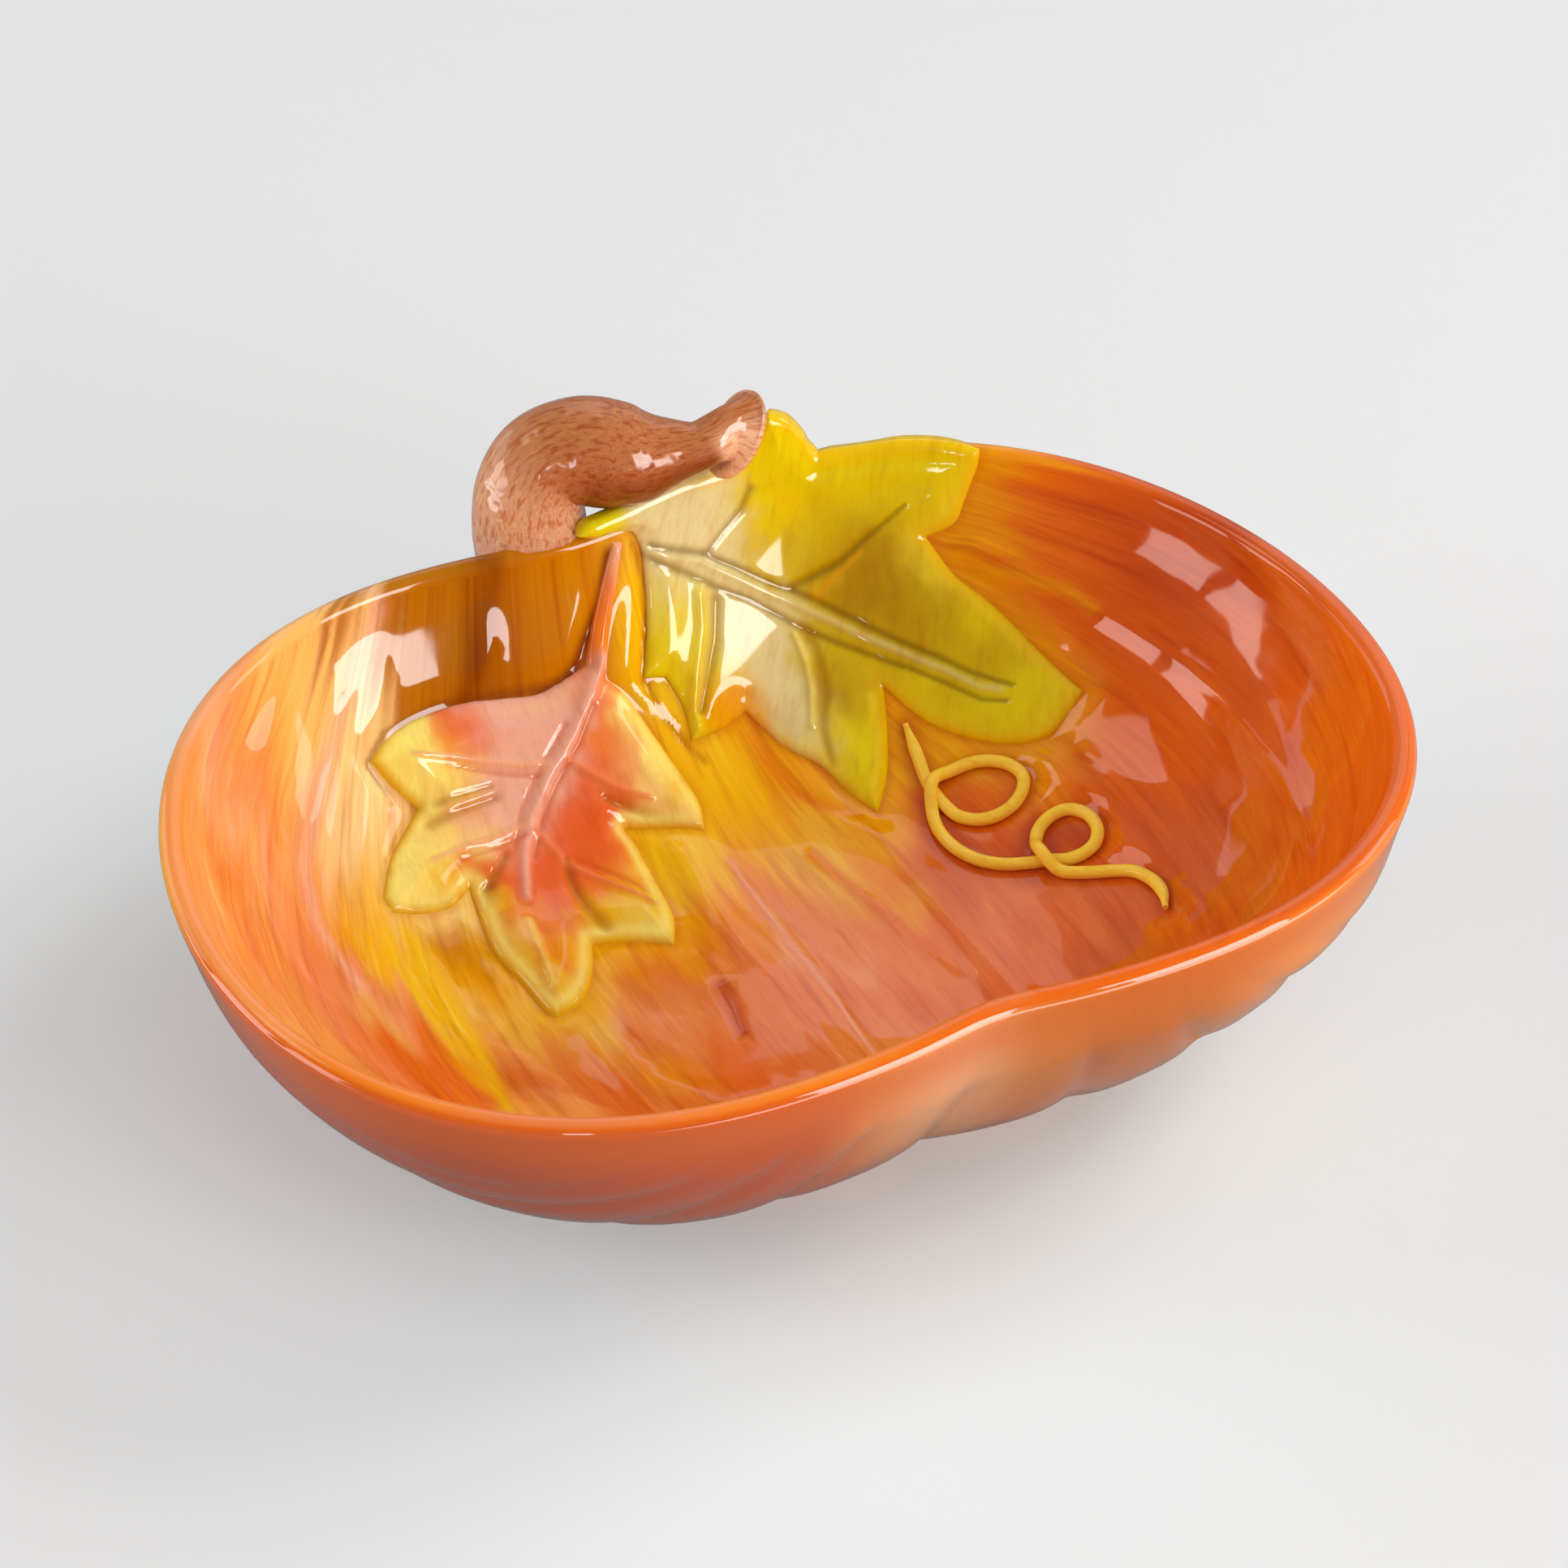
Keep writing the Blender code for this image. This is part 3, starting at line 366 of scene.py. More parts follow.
strand_route = drawn([
    (56.4, 45.8), (54.9, 38.6), (53.3, 30.8), (53.8, 22.6), (55.6, 19.0), (59.0, 16.6), (63.6, 16.2),
    (67.6, 17.9), (69.9, 21.2), (69.1, 25.4), (66.0, 28.9), (62.2, 30.8), (57.6, 31.2), (53.6, 29.4),
    (50.6, 25.0), (49.2, 19.6), (49.6, 13.7), (51.8, 8.2), (55.2, 4.2), (58.7, 1.7), (63.0, -0.9),
    (66.0, -3.2), (69.1, -4.1), (72.3, -3.5), (74.7, -0.5), (75.0, 3.8), (73.0, 7.5), (69.8, 8.8),
    (66.3, 8.1), (63.6, 5.5), (62.2, 0.9), (62.7, -4.2), (66.3, -8.4), (71.1, -12.7), (74.2, -16.5),
    (75.4, -21.7), (74.9, -26.3), (73.0, -30.4)])


def line_distance(places, line):
    """Distance from each flat place to a drawn line, and how far along the line that is."""
    nearest, reached = np.full(len(places), np.inf), np.zeros(len(places))
    lengths = np.hypot(*np.diff(line, axis=0).T)
    gone = 0.0
    for start, run, length in zip(line[:-1], np.diff(line, axis=0), lengths):
        part = np.clip(((places - start) @ run) / max(length ** 2, 1e-9), 0, 1)
        distance = np.hypot(*(places - start - part[:, None] * run).T)
        closer = distance < nearest
        nearest[closer] = distance[closer]
        reached[closer] = (gone + part[closer] * length) / lengths.sum()
        gone += length
    return nearest, reached


def inside(places, outline):
    """Which flat places lie inside a closed outline."""
    crossed = np.zeros(len(places), bool)
    for start, end in zip(outline, np.roll(outline, -1, axis=0)):
        if start[1] == end[1]:
            continue
        spans = (start[1] > places[:, 1]) != (end[1] > places[:, 1])
        across = start[0] + (places[:, 1] - start[1]) / (end[1] - start[1]) * (end[0] - start[0])
        crossed ^= spans & (places[:, 0] < across)
    return crossed


def closed(outline):
    """The outline with its first point again at the end."""
    return np.concatenate([outline, outline[:1]])


def run_along(line):
    """How far along a flat line each of its points is."""
    return np.concatenate([[0], np.cumsum(np.hypot(*np.diff(line, axis=0).T))])


def curve_through(points, steps):
    """Smooth points along a given route."""
    rows = np.array([points[0], *points, points[-1]], dtype=float)
    found = []
    for first in range(len(points) - 1):
        a, b, c, d = rows[first:first + 4]
        for t in np.arange(steps) / steps:
            found.append(0.5 * (2 * b + (c - a) * t + (2 * a - 5 * b + 4 * c - d) * t ** 2
                                + (3 * b - a - 3 * c + d) * t ** 3))
    return np.array(found + [rows[-1]])


def rounded_outline(outline, steps):
    """Curves an outline between its sharp tips and notches."""
    arriving = outline - np.roll(outline, 1, axis=0)
    leaving = np.roll(outline, -1, axis=0) - outline
    cosine = (arriving * leaving).sum(1) / np.hypot(*arriving.T) / np.hypot(*leaving.T)
    sharp = np.flatnonzero(np.arccos(np.clip(cosine, -1, 1)) / math.pi > 0.2)
    edge = []
    for start, end in zip(sharp, [*sharp[1:], sharp[0] + len(outline)]):
        stretch = outline[np.arange(start, end + 1) % len(outline)]
        edge.extend(curve_through(stretch, steps)[:-1])
    return np.array(edge)


strand = curve_through(strand_route, 6)
green_edge = rounded_outline(green_outline, 5)
autumn_edge = rounded_outline(autumn_outline, 5)
print("drawn points:", len(green_edge), len(autumn_edge), len(strand))

# %% [markdown]
# ## Glaze colours
#
# The painter lays a few glazes side by side while wet and drags the brush from stem to blossom end. Each
# dab below is a place and how far the colour spreads. A point takes a blend of the dabs around it, looked
# up a little further along the brush stroke, so that borders end in streaks. Single strokes are drawn over
# the blend.

# %% Glazes
def glaze(red, green, blue):
    """A glaze colour as seen on a fired test tile, 0 to 255, made linear."""
    tile = np.array([red, green, blue]) / 255
    return np.where(tile < 0.04045, tile / 12.92, ((tile + 0.055) / 1.055) ** 2.4)


glazes = {
    "peach": glaze(246, 176, 128), "apricot": glaze(248, 152, 74), "orange": glaze(242, 130, 30),
    "tangerine": glaze(236, 106, 18), "flame": glaze(229, 100, 16), "clay": glaze(208, 80, 12),
    "rust": glaze(214, 92, 26), "deep": glaze(188, 64, 16), "salmon": glaze(234, 126, 66),
    "cream": glaze(250, 210, 140), "straw": glaze(240, 182, 66), "yellow": glaze(246, 190, 6),
    "gold": glaze(240, 160, 2), "amber": glaze(200, 120, 2), "ochre": glaze(178, 108, 2),
    "brown": glaze(134, 62, 2), "umber": glaze(120, 30, 6), "brick": glaze(204, 92, 54),
    "khaki": glaze(226, 214, 150), "chartreuse": glaze(228, 208, 8), "olive": glaze(210, 180, 4),
    "lemon": glaze(238, 214, 40), "bark": glaze(176, 134, 4), "moss": glaze(112, 78, 2),
    "pistachio": glaze(226, 212, 146), "scarlet": glaze(236, 98, 38), "coral": glaze(238, 128, 72),
    "blush": glaze(242, 178, 152), "vanilla": glaze(252, 232, 118), "sun": glaze(238, 186, 8)}

inside_dabs = {
    "lemon": [(12, 63, 3), (11, 66, 2), (12, 60, 3)],
    "sun": [(25, 28, 4), (20, 33, 3)],
    "peach": [(6, 11, 4), (-26, -1, 4), (-76, 10, 4), (16, -3, 3), (-64, 72, 7), (-95, 50, 9), (-84, 62, 9)],
    "apricot": [
        (-26, -1, 4), (-23, -6, 4), (-107, 22, 9), (-85, 44, 7), (-99, 27, 8), (-94, -9, 6), (-56, -26, 4),
        (-113, 8, 8), (-105, 40, 8), (-112, -14, 7)],
    "orange": [
        (-36, -80, 12), (-92, -40, 10), (93, 53, 4), (-102, 37, 4), (-95, 40, 4), (39, 30, 4), (-85, 53, 8),
        (-79, 63, 6), (-75, 57, 5), (-82, 26, 3), (-18, 15, 4), (-13, 14, 4), (16, 30, 5), (0, 22, 4),
        (33, 16, 5), (79, 61, 5), (85, 61, 6), (84, 64, 5), (92, 43, 3), (76, 14, 4), (-7, 20, 4),
        (-110, 26, 6)],
    "tangerine": [
        (88, 44, 7), (92, 38, 6), (85, 48, 4), (90, 47, 4), (-103, 13, 6), (-93, 19, 4), (-77, 44, 4),
        (-79, 36, 3.5), (-73, 8, 3), (-81, -6, 5), (-80, -13, 5), (-41, -16, 5), (-23, -19, 5), (32, -3, 4),
        (87, 45, 3), (91, 56, 6), (90, 37, 4)],
    "flame": [
        (96, 31, 5), (98, 21, 5), (91, 31, 4), (87, 41, 5), (100, 5, 5), (30, -80, 12), (-14, -78, 9),
        (84, -62, 9), (26, -20, 4), (54, -19, 4), (73, -32, 4), (-85, 53, 3), (-98, 33, 3), (-78, 58, 3),
        (68, -25, 4), (-73, 1, 4), (-71, -5, 4), (-21, -26, 6), (-14, -21, 5), (51, 22, 4), (62, 26, 4),
        (43, -26, 5), (40, -11, 4), (54, -19, 5), (76, 3, 4), (77, -10, 4), (93, 51, 5), (91, 48, 4),
        (91, 31, 4), (90, 22, 4), (83, 24, 4), (87, 10, 4), (108, -29, 6), (103, -49, 6), (110, -40, 5),
        (87, 0, 4)],
    "rust": [
        (58, -74, 11), (-58, -15, 4), (45, 14, 4), (47, 1, 5), (62, -35, 6), (73, -41, 6), (86, -41, 6),
        (76, -24, 5), (85, -26, 6), (85, -12, 5), (95, -28, 6), (101, -30, 6), (96, -52, 5), (98, 48, 6),
        (104, 38, 6), (97, 42, 5), (116, -4, 6), (106, 9, 5), (102, 19, 4), (108, -6, 5), (96, 31, 4),
        (112, 36, 6)],
    "deep": [(107, 30, 6), (104, 28, 5), (69, 4, 3), (110, 16, 5)],
    "salmon": [
        (-26, -1, 4), (-24, -7, 4), (-35, -8, 4), (-70, -66, 10), (0, -66, 9), (28, -1, 4), (-91, 5, 4),
        (-9, -1, 4), (-91, 15, 6), (-86, 30, 5), (-107, -6, 7), (-89, 10, 5), (-105, -19, 6), (-90, -14, 5),
        (-77, 16, 3), (-55, -6, 5), (-50, -13, 5), (-24, 9, 5), (-22, 5, 5), (-31, -10, 6), (-8, -21, 5),
        (-1, -20, 6), (0, 3, 6), (8, -4, 7), (21, 3, 7), (11, 17, 6), (16, -14, 6), (25, -5, 5), (31, -11, 6),
        (32, -18, 5), (7, -21, 5), (22, 22, 5), (-2, 13, 5), (47, -11, 5), (62, -20, 4)],
    "cream": [(-64, 57, 6), (-57, 64, 6), (-59, 55, 6), (-67, 47, 6), (-61, 46, 6), (-52, 61, 5)],
    "straw": [
        (25, 28, 5), (21, 32, 4), (25, 28, 4), (25, 17, 3), (-52, 4, 4), (-74, 39, 4), (-67, 36, 5),
        (-51, 5, 6), (-57, 7, 4), (-46, -3, 6), (-34, 5, 5), (9, 73, 4), (-79, 7, 3)],
    "yellow": [
        (24, 22, 3), (-67, 68, 5), (-61, 71, 4), (-70, 28, 4), (-65, 26, 4), (-63, 20, 4), (-63, 8, 4),
        (-64, -5, 4), (5, 69, 4), (1, 65, 4), (33, 26, 5), (28, 34, 4), (18, 50, 5), (11, 44, 5), (9, 33, 5),
        (1, 31, 5), (12, 62, 4), (10, 54, 4), (44, 40, 5), (90, 60, 3), (70, 40, 4), (60, 44, 4)],
    "gold": [
        (82, 55, 8), (79, 61, 8), (82, 55, 4), (81, 60, 4), (77, 64, 4), (-11, 11, 3), (-39, -9, 3),
        (87, 41, 3), (82, 55, 4), (-71, 31, 4), (-71, 38, 3), (-73, 63, 5), (-76, 28, 4), (-53, 16, 5),
        (-26, 18, 5), (-3, 22, 4), (18, 40, 6), (26, 12, 4), (34, 6, 3), (26, 45, 4), (35, 33, 4),
        (40, 27, 4), (54, 37, 3), (62, 36, 5), (72, 31, 5), (77, 22, 4), (85, 51, 3), (82, 56, 4),
        (-30, -18, 4), (25, 29, 4)],
    "amber": [
        (-39, 78, 4), (-16, 75, 5), (-16, 72, 6), (-19, 70, 6), (-10, 69, 5), (-7, 72, 5), (-23, 69, 5),
        (-3, 72, 4), (-53, 26, 5), (4, 58, 3)],
    "ochre": [
        (-47, 76, 5), (-41, 75, 5), (-46, 71, 5), (-34, 76, 4), (-32, 78, 5), (-30, 76, 5), (-30, 72, 5),
        (-33, 70, 5), (-41, 69, 4)],
    "brown": [(-20, 74, 4), (-25, 72, 4), (-26, 70, 3), (-22, 75, 3), (-25, 73, 3.5), (-28, 71, 3)]}
outside_dabs = {
    "blush": [(25, -76, 5)],
    "amber": [(10, -89, 6), (20, -90, 6), (32, -90, 5), (43, -89, 5)],
    "brick": [
        (11, -69, 3), (-24, -76, 4), (-117, 5, 30), (-117, -30, 30), (-104, -61, 30), (-81, -80, 30),
        (-61, -87, 20), (0, 90, 30), (60, 80, 30), (-60, 80, 30), (115, 20, 30)],
    "apricot": [(-25, -90, 5), (-9, -91, 14), (10, -92, 8), (63, -89, 16), (81, -83, 24), (104, -62, 20)],
    "peach": [(-17, -90, 6), (-9, -88, 6), (-3, -86, 5), (-1, -77, 5), (-5, -90, 7)],
    "clay": [(-39, -92, 14), (10, -91, 10), (27, -92, 12), (44, -92, 12), (-56, -92, 10), (115, -20, 30)]}
green_dabs = {
    # The khaki dabs make the pale patch near the stem: paler glaze with a painted reflection in it.
    "khaki": [(17, 98, 5), (27, 98, 5), (37, 99, 5), (22, 93, 5), (31, 92, 5), (37, 94, 4)],
    "chartreuse": [
        (19, 89, 4), (24, 85, 4), (18, 80, 4), (13, 72, 4), (12, 66, 4), (25, 72, 3), (16, 58, 4),
        (41, 44, 4), (46, 48, 4), (41, 38, 4), (58, 54, 4), (62, 44, 4), (68, 38, 4), (77, 33, 4),
        (84, 31, 4), (83, 36, 4), (80, 56, 3), (81, 88, 5), (89, 83, 5), (95, 79, 5), (72, 92, 4),
        (56, 101, 4), (52, 96, 4), (60, 99, 4), (0, 107, 5), (80, 99, 5), (62, 112, 5)],
    "gold": [(21, 64, 4), (25, 64, 4), (57, 98, 2), (23, 60, 3)],
    # The pistachio dabs are part of the same pale patch, paler glaze with a painted reflection in it.
    "pistachio": [(32, 80, 6), (37, 72, 5), (37, 64, 4), (36, 56, 4), (37, 48, 3)],
    "lemon": [
        (41, 50, 3), (30, 48, 3), (31, 41, 3), (37, 34, 3), (85, 29, 3), (83, 76, 4), (79, 73, 4),
        (84, 71, 4), (92, 75, 4)],
    "olive": [
        (52, 63, 5), (48, 67, 4), (59, 62, 4), (68, 44, 3), (72, 59, 5), (76, 50, 4), (80, 44, 4),
        (76, 66, 4), (57, 86, 5), (60, 92, 5), (70, 89, 5), (82, 80, 4), (45, 92, 5)],
    "bark": [(47, 58, 4), (68, 69, 6), (61, 76, 5), (70, 62, 5), (68, 82, 4), (75, 77, 4)]}
autumn_dabs = {
    # Painted highlight: the peach dab at the top of the stalk.
    "peach": [(8, 100, 4)],
    "orange": [
        (4, 90, 3), (1, 84, 3), (-1, 80, 3), (-41, 60, 3), (-47, 43, 3), (-38, 32, 3), (-38, 25, 3),
        (-36, 17, 3), (-23, 34, 3), (0, 45, 3), (-10, 41, 3), (-11, 33, 3), (-15, 35, 3), (-9, 66, 3),
        (-43, 69, 2)],
    "coral": [(5, 94, 3), (-6, 76, 3), (-9, 72, 2), (-8, 56, 3), (-31, 25, 3), (-33, 30, 3)],
    # Rose glaze over the upper left half, with a painted reflection in it.
    "blush": [
        (-32, 70, 3), (-25, 68, 3), (-23, 60, 3), (-34, 54, 3), (-26, 64, 3), (-41, 55, 3), (-12, 73, 3),
        (-15, 70, 3), (-24, 71, 5), (-22, 66, 5), (-27, 60, 5), (-33, 58, 4), (-35, 55, 4), (-29, 52, 4),
        (-28, 69, 4)],
    "scarlet": [
        (-17, 47, 3), (-20, 52, 3), (-8, 53, 3), (-35, 47, 3), (-32, 41, 3), (-37, 70, 3), (-42, 44, 3),
        (-29, 36, 4), (-23, 42, 4), (-27, 43, 4), (-14, 46, 5), (-22, 51, 4), (-8, 51, 4), (-9, 59, 4),
        (-4, 63, 3), (-27, 37, 4)],
    "vanilla": [
        (-40, 65, 3), (-46, 63, 3), (-3, 46, 3), (-58, 43, 3), (-51, 68, 3), (-48, 65, 3), (-45, 62, 3),
        (-39, 51, 3), (-57, 48, 3), (-49, 52, 3), (-61, 42, 3), (-58, 38, 3), (-50, 38, 3), (-1, 65, 3),
        (2, 58, 3), (-2, 53, 3), (5, 44, 3), (-3, 46, 2), (-7, 34, 3), (-14, 23, 3), (-13, 18, 3)],
    "sun": [
        (-3, 44, 2), (-11, 30, 3), (-39, 10, 2), (-12, 30, 3), (-48, 42, 3), (-37, 11, 3), (-43, 28, 3),
        (-25, 23, 3), (-14, 23, 3), (-56, 65, 3), (-53, 60, 3), (-48, 57, 3), (-51, 43, 3), (-43, 37, 2),
        (-45, 29, 3), (-43, 21, 3), (-41, 14, 3), (-41, 7, 3), (4, 49, 3), (-6, 40, 3), (-8, 25, 3),
        (-30, 20, 3), (-23, 27, 3), (-19, 28, 3)],
    "cream": [(-46, 42, 2), (-40, 27, 2), (-50, 57, 3), (-2, 49, 3), (2, 44, 3), (-5, 58, 3)],
    "straw": [(-41, 26, 3), (-40, 9, 3)]}

# %% [markdown]
# ## Brush strokes and tool marks
#
# Veins, lines of painted shade and painted highlight, and single brush strokes follow lines. Each is its
# line, its half width, how much it thins towards its end, its glaze, the strength of the glaze and the height
# that it adds to the clay.

# %% Strokes
wall_strokes = [
    # Painted highlight: a pale blush line along the raised crease on the left wall.
    ([(-57.9, 98.0), (-65.3, 82.6), (-72.5, 69.0), (-78.6, 56.0), (-84.3, 44.5), (-85.6, 32.0),
      (-82.0, 18.0)], 2.6, 0.3, "blush", 0.55, 0.5),
    # Painted shade: a dark umber line in the groove beside the autumn leaf's stalk.
    ([(4.9, 100.7), (1.2, 91.6), (-4.8, 85.2), (-9.4, 79.8), (-13.4, 77.1), (-18.9, 76.0)],
     2.2, 0.3, "umber", 0.9, -0.3),
    ([(-13.4, 78.1), (-25.0, 78.7), (-34.9, 79.7), (-44.0, 78.7), (-56.0, 75.0), (-61.0, 69.0),
      (-57.0, 64.0)], 1.0, 0.2, "brown", 0.6, -0.1),
    ([(-28.0, 102.1), (-30.1, 93.2), (-32.5, 87.5), (-35.4, 80.4)], 3.4, 0.2, "brown", 0.7, 0.6),
    ([(10.8, 93.5), (9.7, 86.7), (7.2, 79.8), (5.6, 72.0), (6.5, 66.0), (9.0, 58.0), (14.0, 50.0)],
     3.0, 0.1, "yellow", 0.85, 0.0),
    # Painted shadow: a dark ochre line along the green leaf's left edge, where the leaf shades the wall.
    ([(12.8, 101.5), (13.6, 93.3), (12.2, 86.7), (9.8, 79.8), (7.6, 74.0), (8.3, 67.9), (11.0, 60.6),
      (14.0, 55.0)], 1.0, 0.2, "ochre", 0.8, -0.4),
    ([(-62.9, 32.7), (-62.5, 17.5), (-63.0, -2.2), (-65.5, -19.8)], 2.4, 0.3, "yellow", 0.8, 0.3),
    ([(-9.3, 1.5), (-10.6, -6.4), (-12.2, -13.6)], 1.8, 0.3, "deep", 0.8, -0.4),
    # Painted highlight: a pale blush line along a rib on the floor.
    ([(8.8, 32.4), (9.0, 12.0), (8.3, -12.8), (6.2, -32.9)], 1.0, 0.3, "blush", 0.5, 0.3),
    ([(24.6, 28.0), (29.6, 3.6), (33.5, -18.9)], 1.5, 0.3, "tangerine", 0.7, 0.3),
    ([(88.2, 62.3), (94.2, 56.5), (100.7, 46.4), (103.1, 38.9)], 1.8, 0.4, "gold", 0.8, 0.2),
    ([(87.9, 54.4), (91.7, 48.7), (94.7, 37.6)], 1.4, 0.4, "orange", 0.7, 0.2),
    ([(28.0, 69.0), (30.3, 63.5), (27.0, 57.0), (27.6, 50.3), (29.4, 42.2), (36.8, 32.6)],
     1.8, 0.2, "tangerine", 0.7, -0.3),
    ([(81.2, 17.2), (81.1, 1.3), (80.3, -19.2), (79.1, -41.0)], 1.2, 0.3, "deep", 0.4, -0.2)]
green_strokes = [
    ([(14.5, 99.0), (25.0, 92.4), (31.4, 87.5), (38.3, 82.5), (43.3, 77.2), (47.1, 72.6), (55.9, 63.6),
      (63.9, 54.4), (68.1, 48.3), (72.6, 40.4), (76.6, 36.8)], 1.1, 0.5, "moss", 0.62, -0.35),
    ([(17.1, 100.5), (31.4, 94.8), (38.7, 89.2), (45.0, 83.4), (48.7, 80.4), (52.7, 76.6), (58.6, 69.3),
      (64.2, 61.6), (69.8, 54.0), (74.3, 46.2), (79.6, 38.8)], 1.1, 0.5, "moss", 0.62, -0.35),
    ([(15.8, 99.2), (29.4, 93.9), (38.2, 86.7), (48.4, 77.3), (53.9, 71.4), (63.1, 59.8), (69.6, 50.6),
      (73.7, 43.1), (77.2, 39.5)], 1.1, 0.5, "khaki", 0.45, 0.4),
    ([(49.0, 81.1), (55.5, 81.0), (61.9, 81.0), (67.7, 82.1), (74.5, 82.8), (81.4, 83.4)],
     1.1, 0.6, "moss", 0.6, -0.4),
    ([(53.5, 77.7), (59.1, 78.6), (63.8, 80.0), (67.1, 80.4)], 1.4, 0.6, "gold", 0.4, 0.2),
    ([(27.3, 87.4), (24.8, 80.6), (19.3, 72.0), (15.8, 65.1), (14.9, 59.7)], 1.8, 0.3, "lemon", 0.7, 1.0),
    ([(30.3, 84.8), (26.7, 77.4), (21.4, 70.1), (17.5, 64.5)], 1.6, 0.4, "bark", 0.7, -0.9),
    ([(47.2, 72.7), (47.7, 69.0), (46.7, 63.8), (44.6, 58.8), (40.6, 52.3), (38.5, 45.0)],
     1.4, 0.3, "bark", 0.6, -0.6),
    ([(45.0, 72.0), (44.6, 66.4), (42.6, 60.4), (39.0, 54.0)], 0.9, 0.3, "vanilla", 0.6, 0.7),
    ([(53.5, 54.0), (50.5, 46.6), (46.7, 40.5), (42.3, 34.3)], 1.0, 0.2, "lemon", 0.8, 0.4),
    ([(80.6, 74.3), (80.9, 66.9), (83.0, 59.7), (84.9, 51.7), (86.6, 42.4), (88.4, 33.9)],
     1.8, 0.2, "lemon", 0.7, 0.3),
    ([(98.9, 80.6), (93.4, 77.6), (87.9, 75.4), (82.8, 76.6)], 2.0, 0.2, "lemon", 0.7, 0.0),
    ([(49.4, 104.1), (44.7, 100.2), (38.3, 97.7), (32.7, 95.0)], 1.1, 0.4, "moss", 0.5, -0.4)]
notch_lines = [
    [(-50.0, 56.5), (-42.0, 58.0), (-34.3, 59.1)],
    [(-62.6, 36.8), (-54.5, 39.3), (-46.6, 40.5), (-40.7, 41.5)],
    [(-44.0, 38.1), (-40.3, 42.4), (-35.7, 47.0)],
    [(-22.9, 24.5), (-24.6, 29.9), (-25.0, 36.6), (-24.2, 42.3)],
    [(4.3, 41.6), (-1.3, 45.5), (-6.7, 49.9), (-11.0, 52.9)]]
autumn_strokes = [(line, 1.5, 0.4, "ochre", 0.55, -0.9) for line in notch_lines] + [
    # Painted highlight: a pale blush line along the stalk's ridge.
    ([(8.2, 101.9), (6.6, 95.8), (3.2, 88.8)], 1.7, 0.6, "blush", 0.7, 0.0),
    ([(-3.4, 80.6), (-9.2, 74.4), (-14.8, 67.7), (-22.8, 60.2), (-27.8, 53.6), (-31.9, 46.5), (-35.6, 35.8)],
     1.8, 0.4, "blush", 0.9, 1.1),
    ([(-8.4, 72.6), (-13.6, 65.7), (-21.0, 58.2), (-26.0, 51.6), (-30.1, 44.5)], 0.7, 0.4, "rust", 0.6, -0.5),
    ([(-15.8, 70.0), (-23.6, 62.4), (-29.4, 55.6), (-33.6, 47.5)], 0.6, 0.4, "rust", 0.45, -0.4),
    ([(-22.0, 63.2), (-27.5, 64.4), (-33.0, 66.0), (-41.7, 68.7), (-51.5, 70.5)],
     0.9, 0.5, "peach", 0.8, 0.6),
    ([(-24.0, 61.2), (-33.0, 63.8), (-41.7, 66.7)], 0.6, 0.5, "rust", 0.45, -0.4),
    ([(-29.5, 52.4), (-35.4, 50.8), (-43.9, 50.2), (-52.9, 47.8)], 0.9, 0.5, "peach", 0.8, 0.6),
    ([(-30.5, 49.8), (-37.4, 48.6), (-45.9, 47.4)], 0.6, 0.5, "rust", 0.45, -0.4),
    ([(-17.0, 62.8), (-12.4, 58.4), (-7.6, 53.8), (-1.9, 50.3)], 1.1, 0.4, "coral", 0.7, 0.6),
    ([(-28.0, 50.1), (-23.7, 40.8), (-17.8, 34.1), (-10.9, 26.1)], 1.0, 0.4, "coral", 0.8, 0.6),
    ([(-22.0, 41.6), (-16.2, 36.0), (-11.2, 30.4)], 0.6, 0.4, "rust", 0.5, -0.4),
    ([(-52.0, 59.7), (-40.9, 61.0), (-34.5, 61.6)], 1.1, 0.5, "bark", 0.6, -0.5),
    ([(-37.5, 30.0), (-39.0, 20.0), (-40.5, 12.0)], 0.9, 0.5, "vanilla", 0.5, 0.4)]
print("strokes:", len(wall_strokes), len(green_strokes), len(autumn_strokes))

# %% [markdown]
# ## Laying the paint
#
# Every point of a piece takes its colour from the dabs and strokes near it, which is stored on the mesh. So
# the paint stays where it is when the piece is turned, and needs no image.

# %% Painting
def grain(across, along, seed):
    """Smooth random values on a lattice, from 0 to 1."""
    table = np.random.RandomState(seed).rand(256, 256)
    column, row = np.floor(across).astype(int), np.floor(along).astype(int)
    right, up = eased(across - column), eased(along - row)
    column, row = column % 256, row % 256
    next_column, next_row = (column + 1) % 256, (row + 1) % 256
    low = table[row, column] * (1 - right) + table[row, next_column] * right
    high = table[next_row, column] * (1 - right) + table[next_row, next_column] * right
    return low * (1 - up) + high * up


def dabbed(x, y, dabs):
    """The blend of dabs at each place; a dab's weight falls off as a bell curve."""
    total, colour = np.zeros(len(x)), np.zeros((len(x), 3))
    for name, spots in dabs.items():
        for dab_x, dab_y, spread in spots:
            weight = np.exp(-((x - dab_x) ** 2 + (y - dab_y) ** 2) / (1.5 * spread) ** 2) + 1e-12
            total += weight
            colour += weight[:, None] * glazes[name]
    return colour / total[:, None]


def dragged(x, y, dabs, seed):
    """Dabs dragged along the brush stroke, from stem to blossom end."""
    lines = rib_turn(x, y)
    broad, fine = grain(lines * 70, y / 45, seed) - 0.5, grain(lines * 130, y / 26, seed + 1) - 0.5
    moved = y + (18 * broad + 9 * fine)
    return dabbed(line_reach(moved) * np.sin(math.pi * lines), moved, dabs)


def halo(distance, width):
    """1 on a line and less beside it, as a bell curve of this width."""
    return np.exp(-(distance / width) ** 2)


def mixed(first, second, part):
    """The first paint with a part of the second in it."""
    part = np.asarray(part)[:, None]
    return first * (1 - part) + second * part


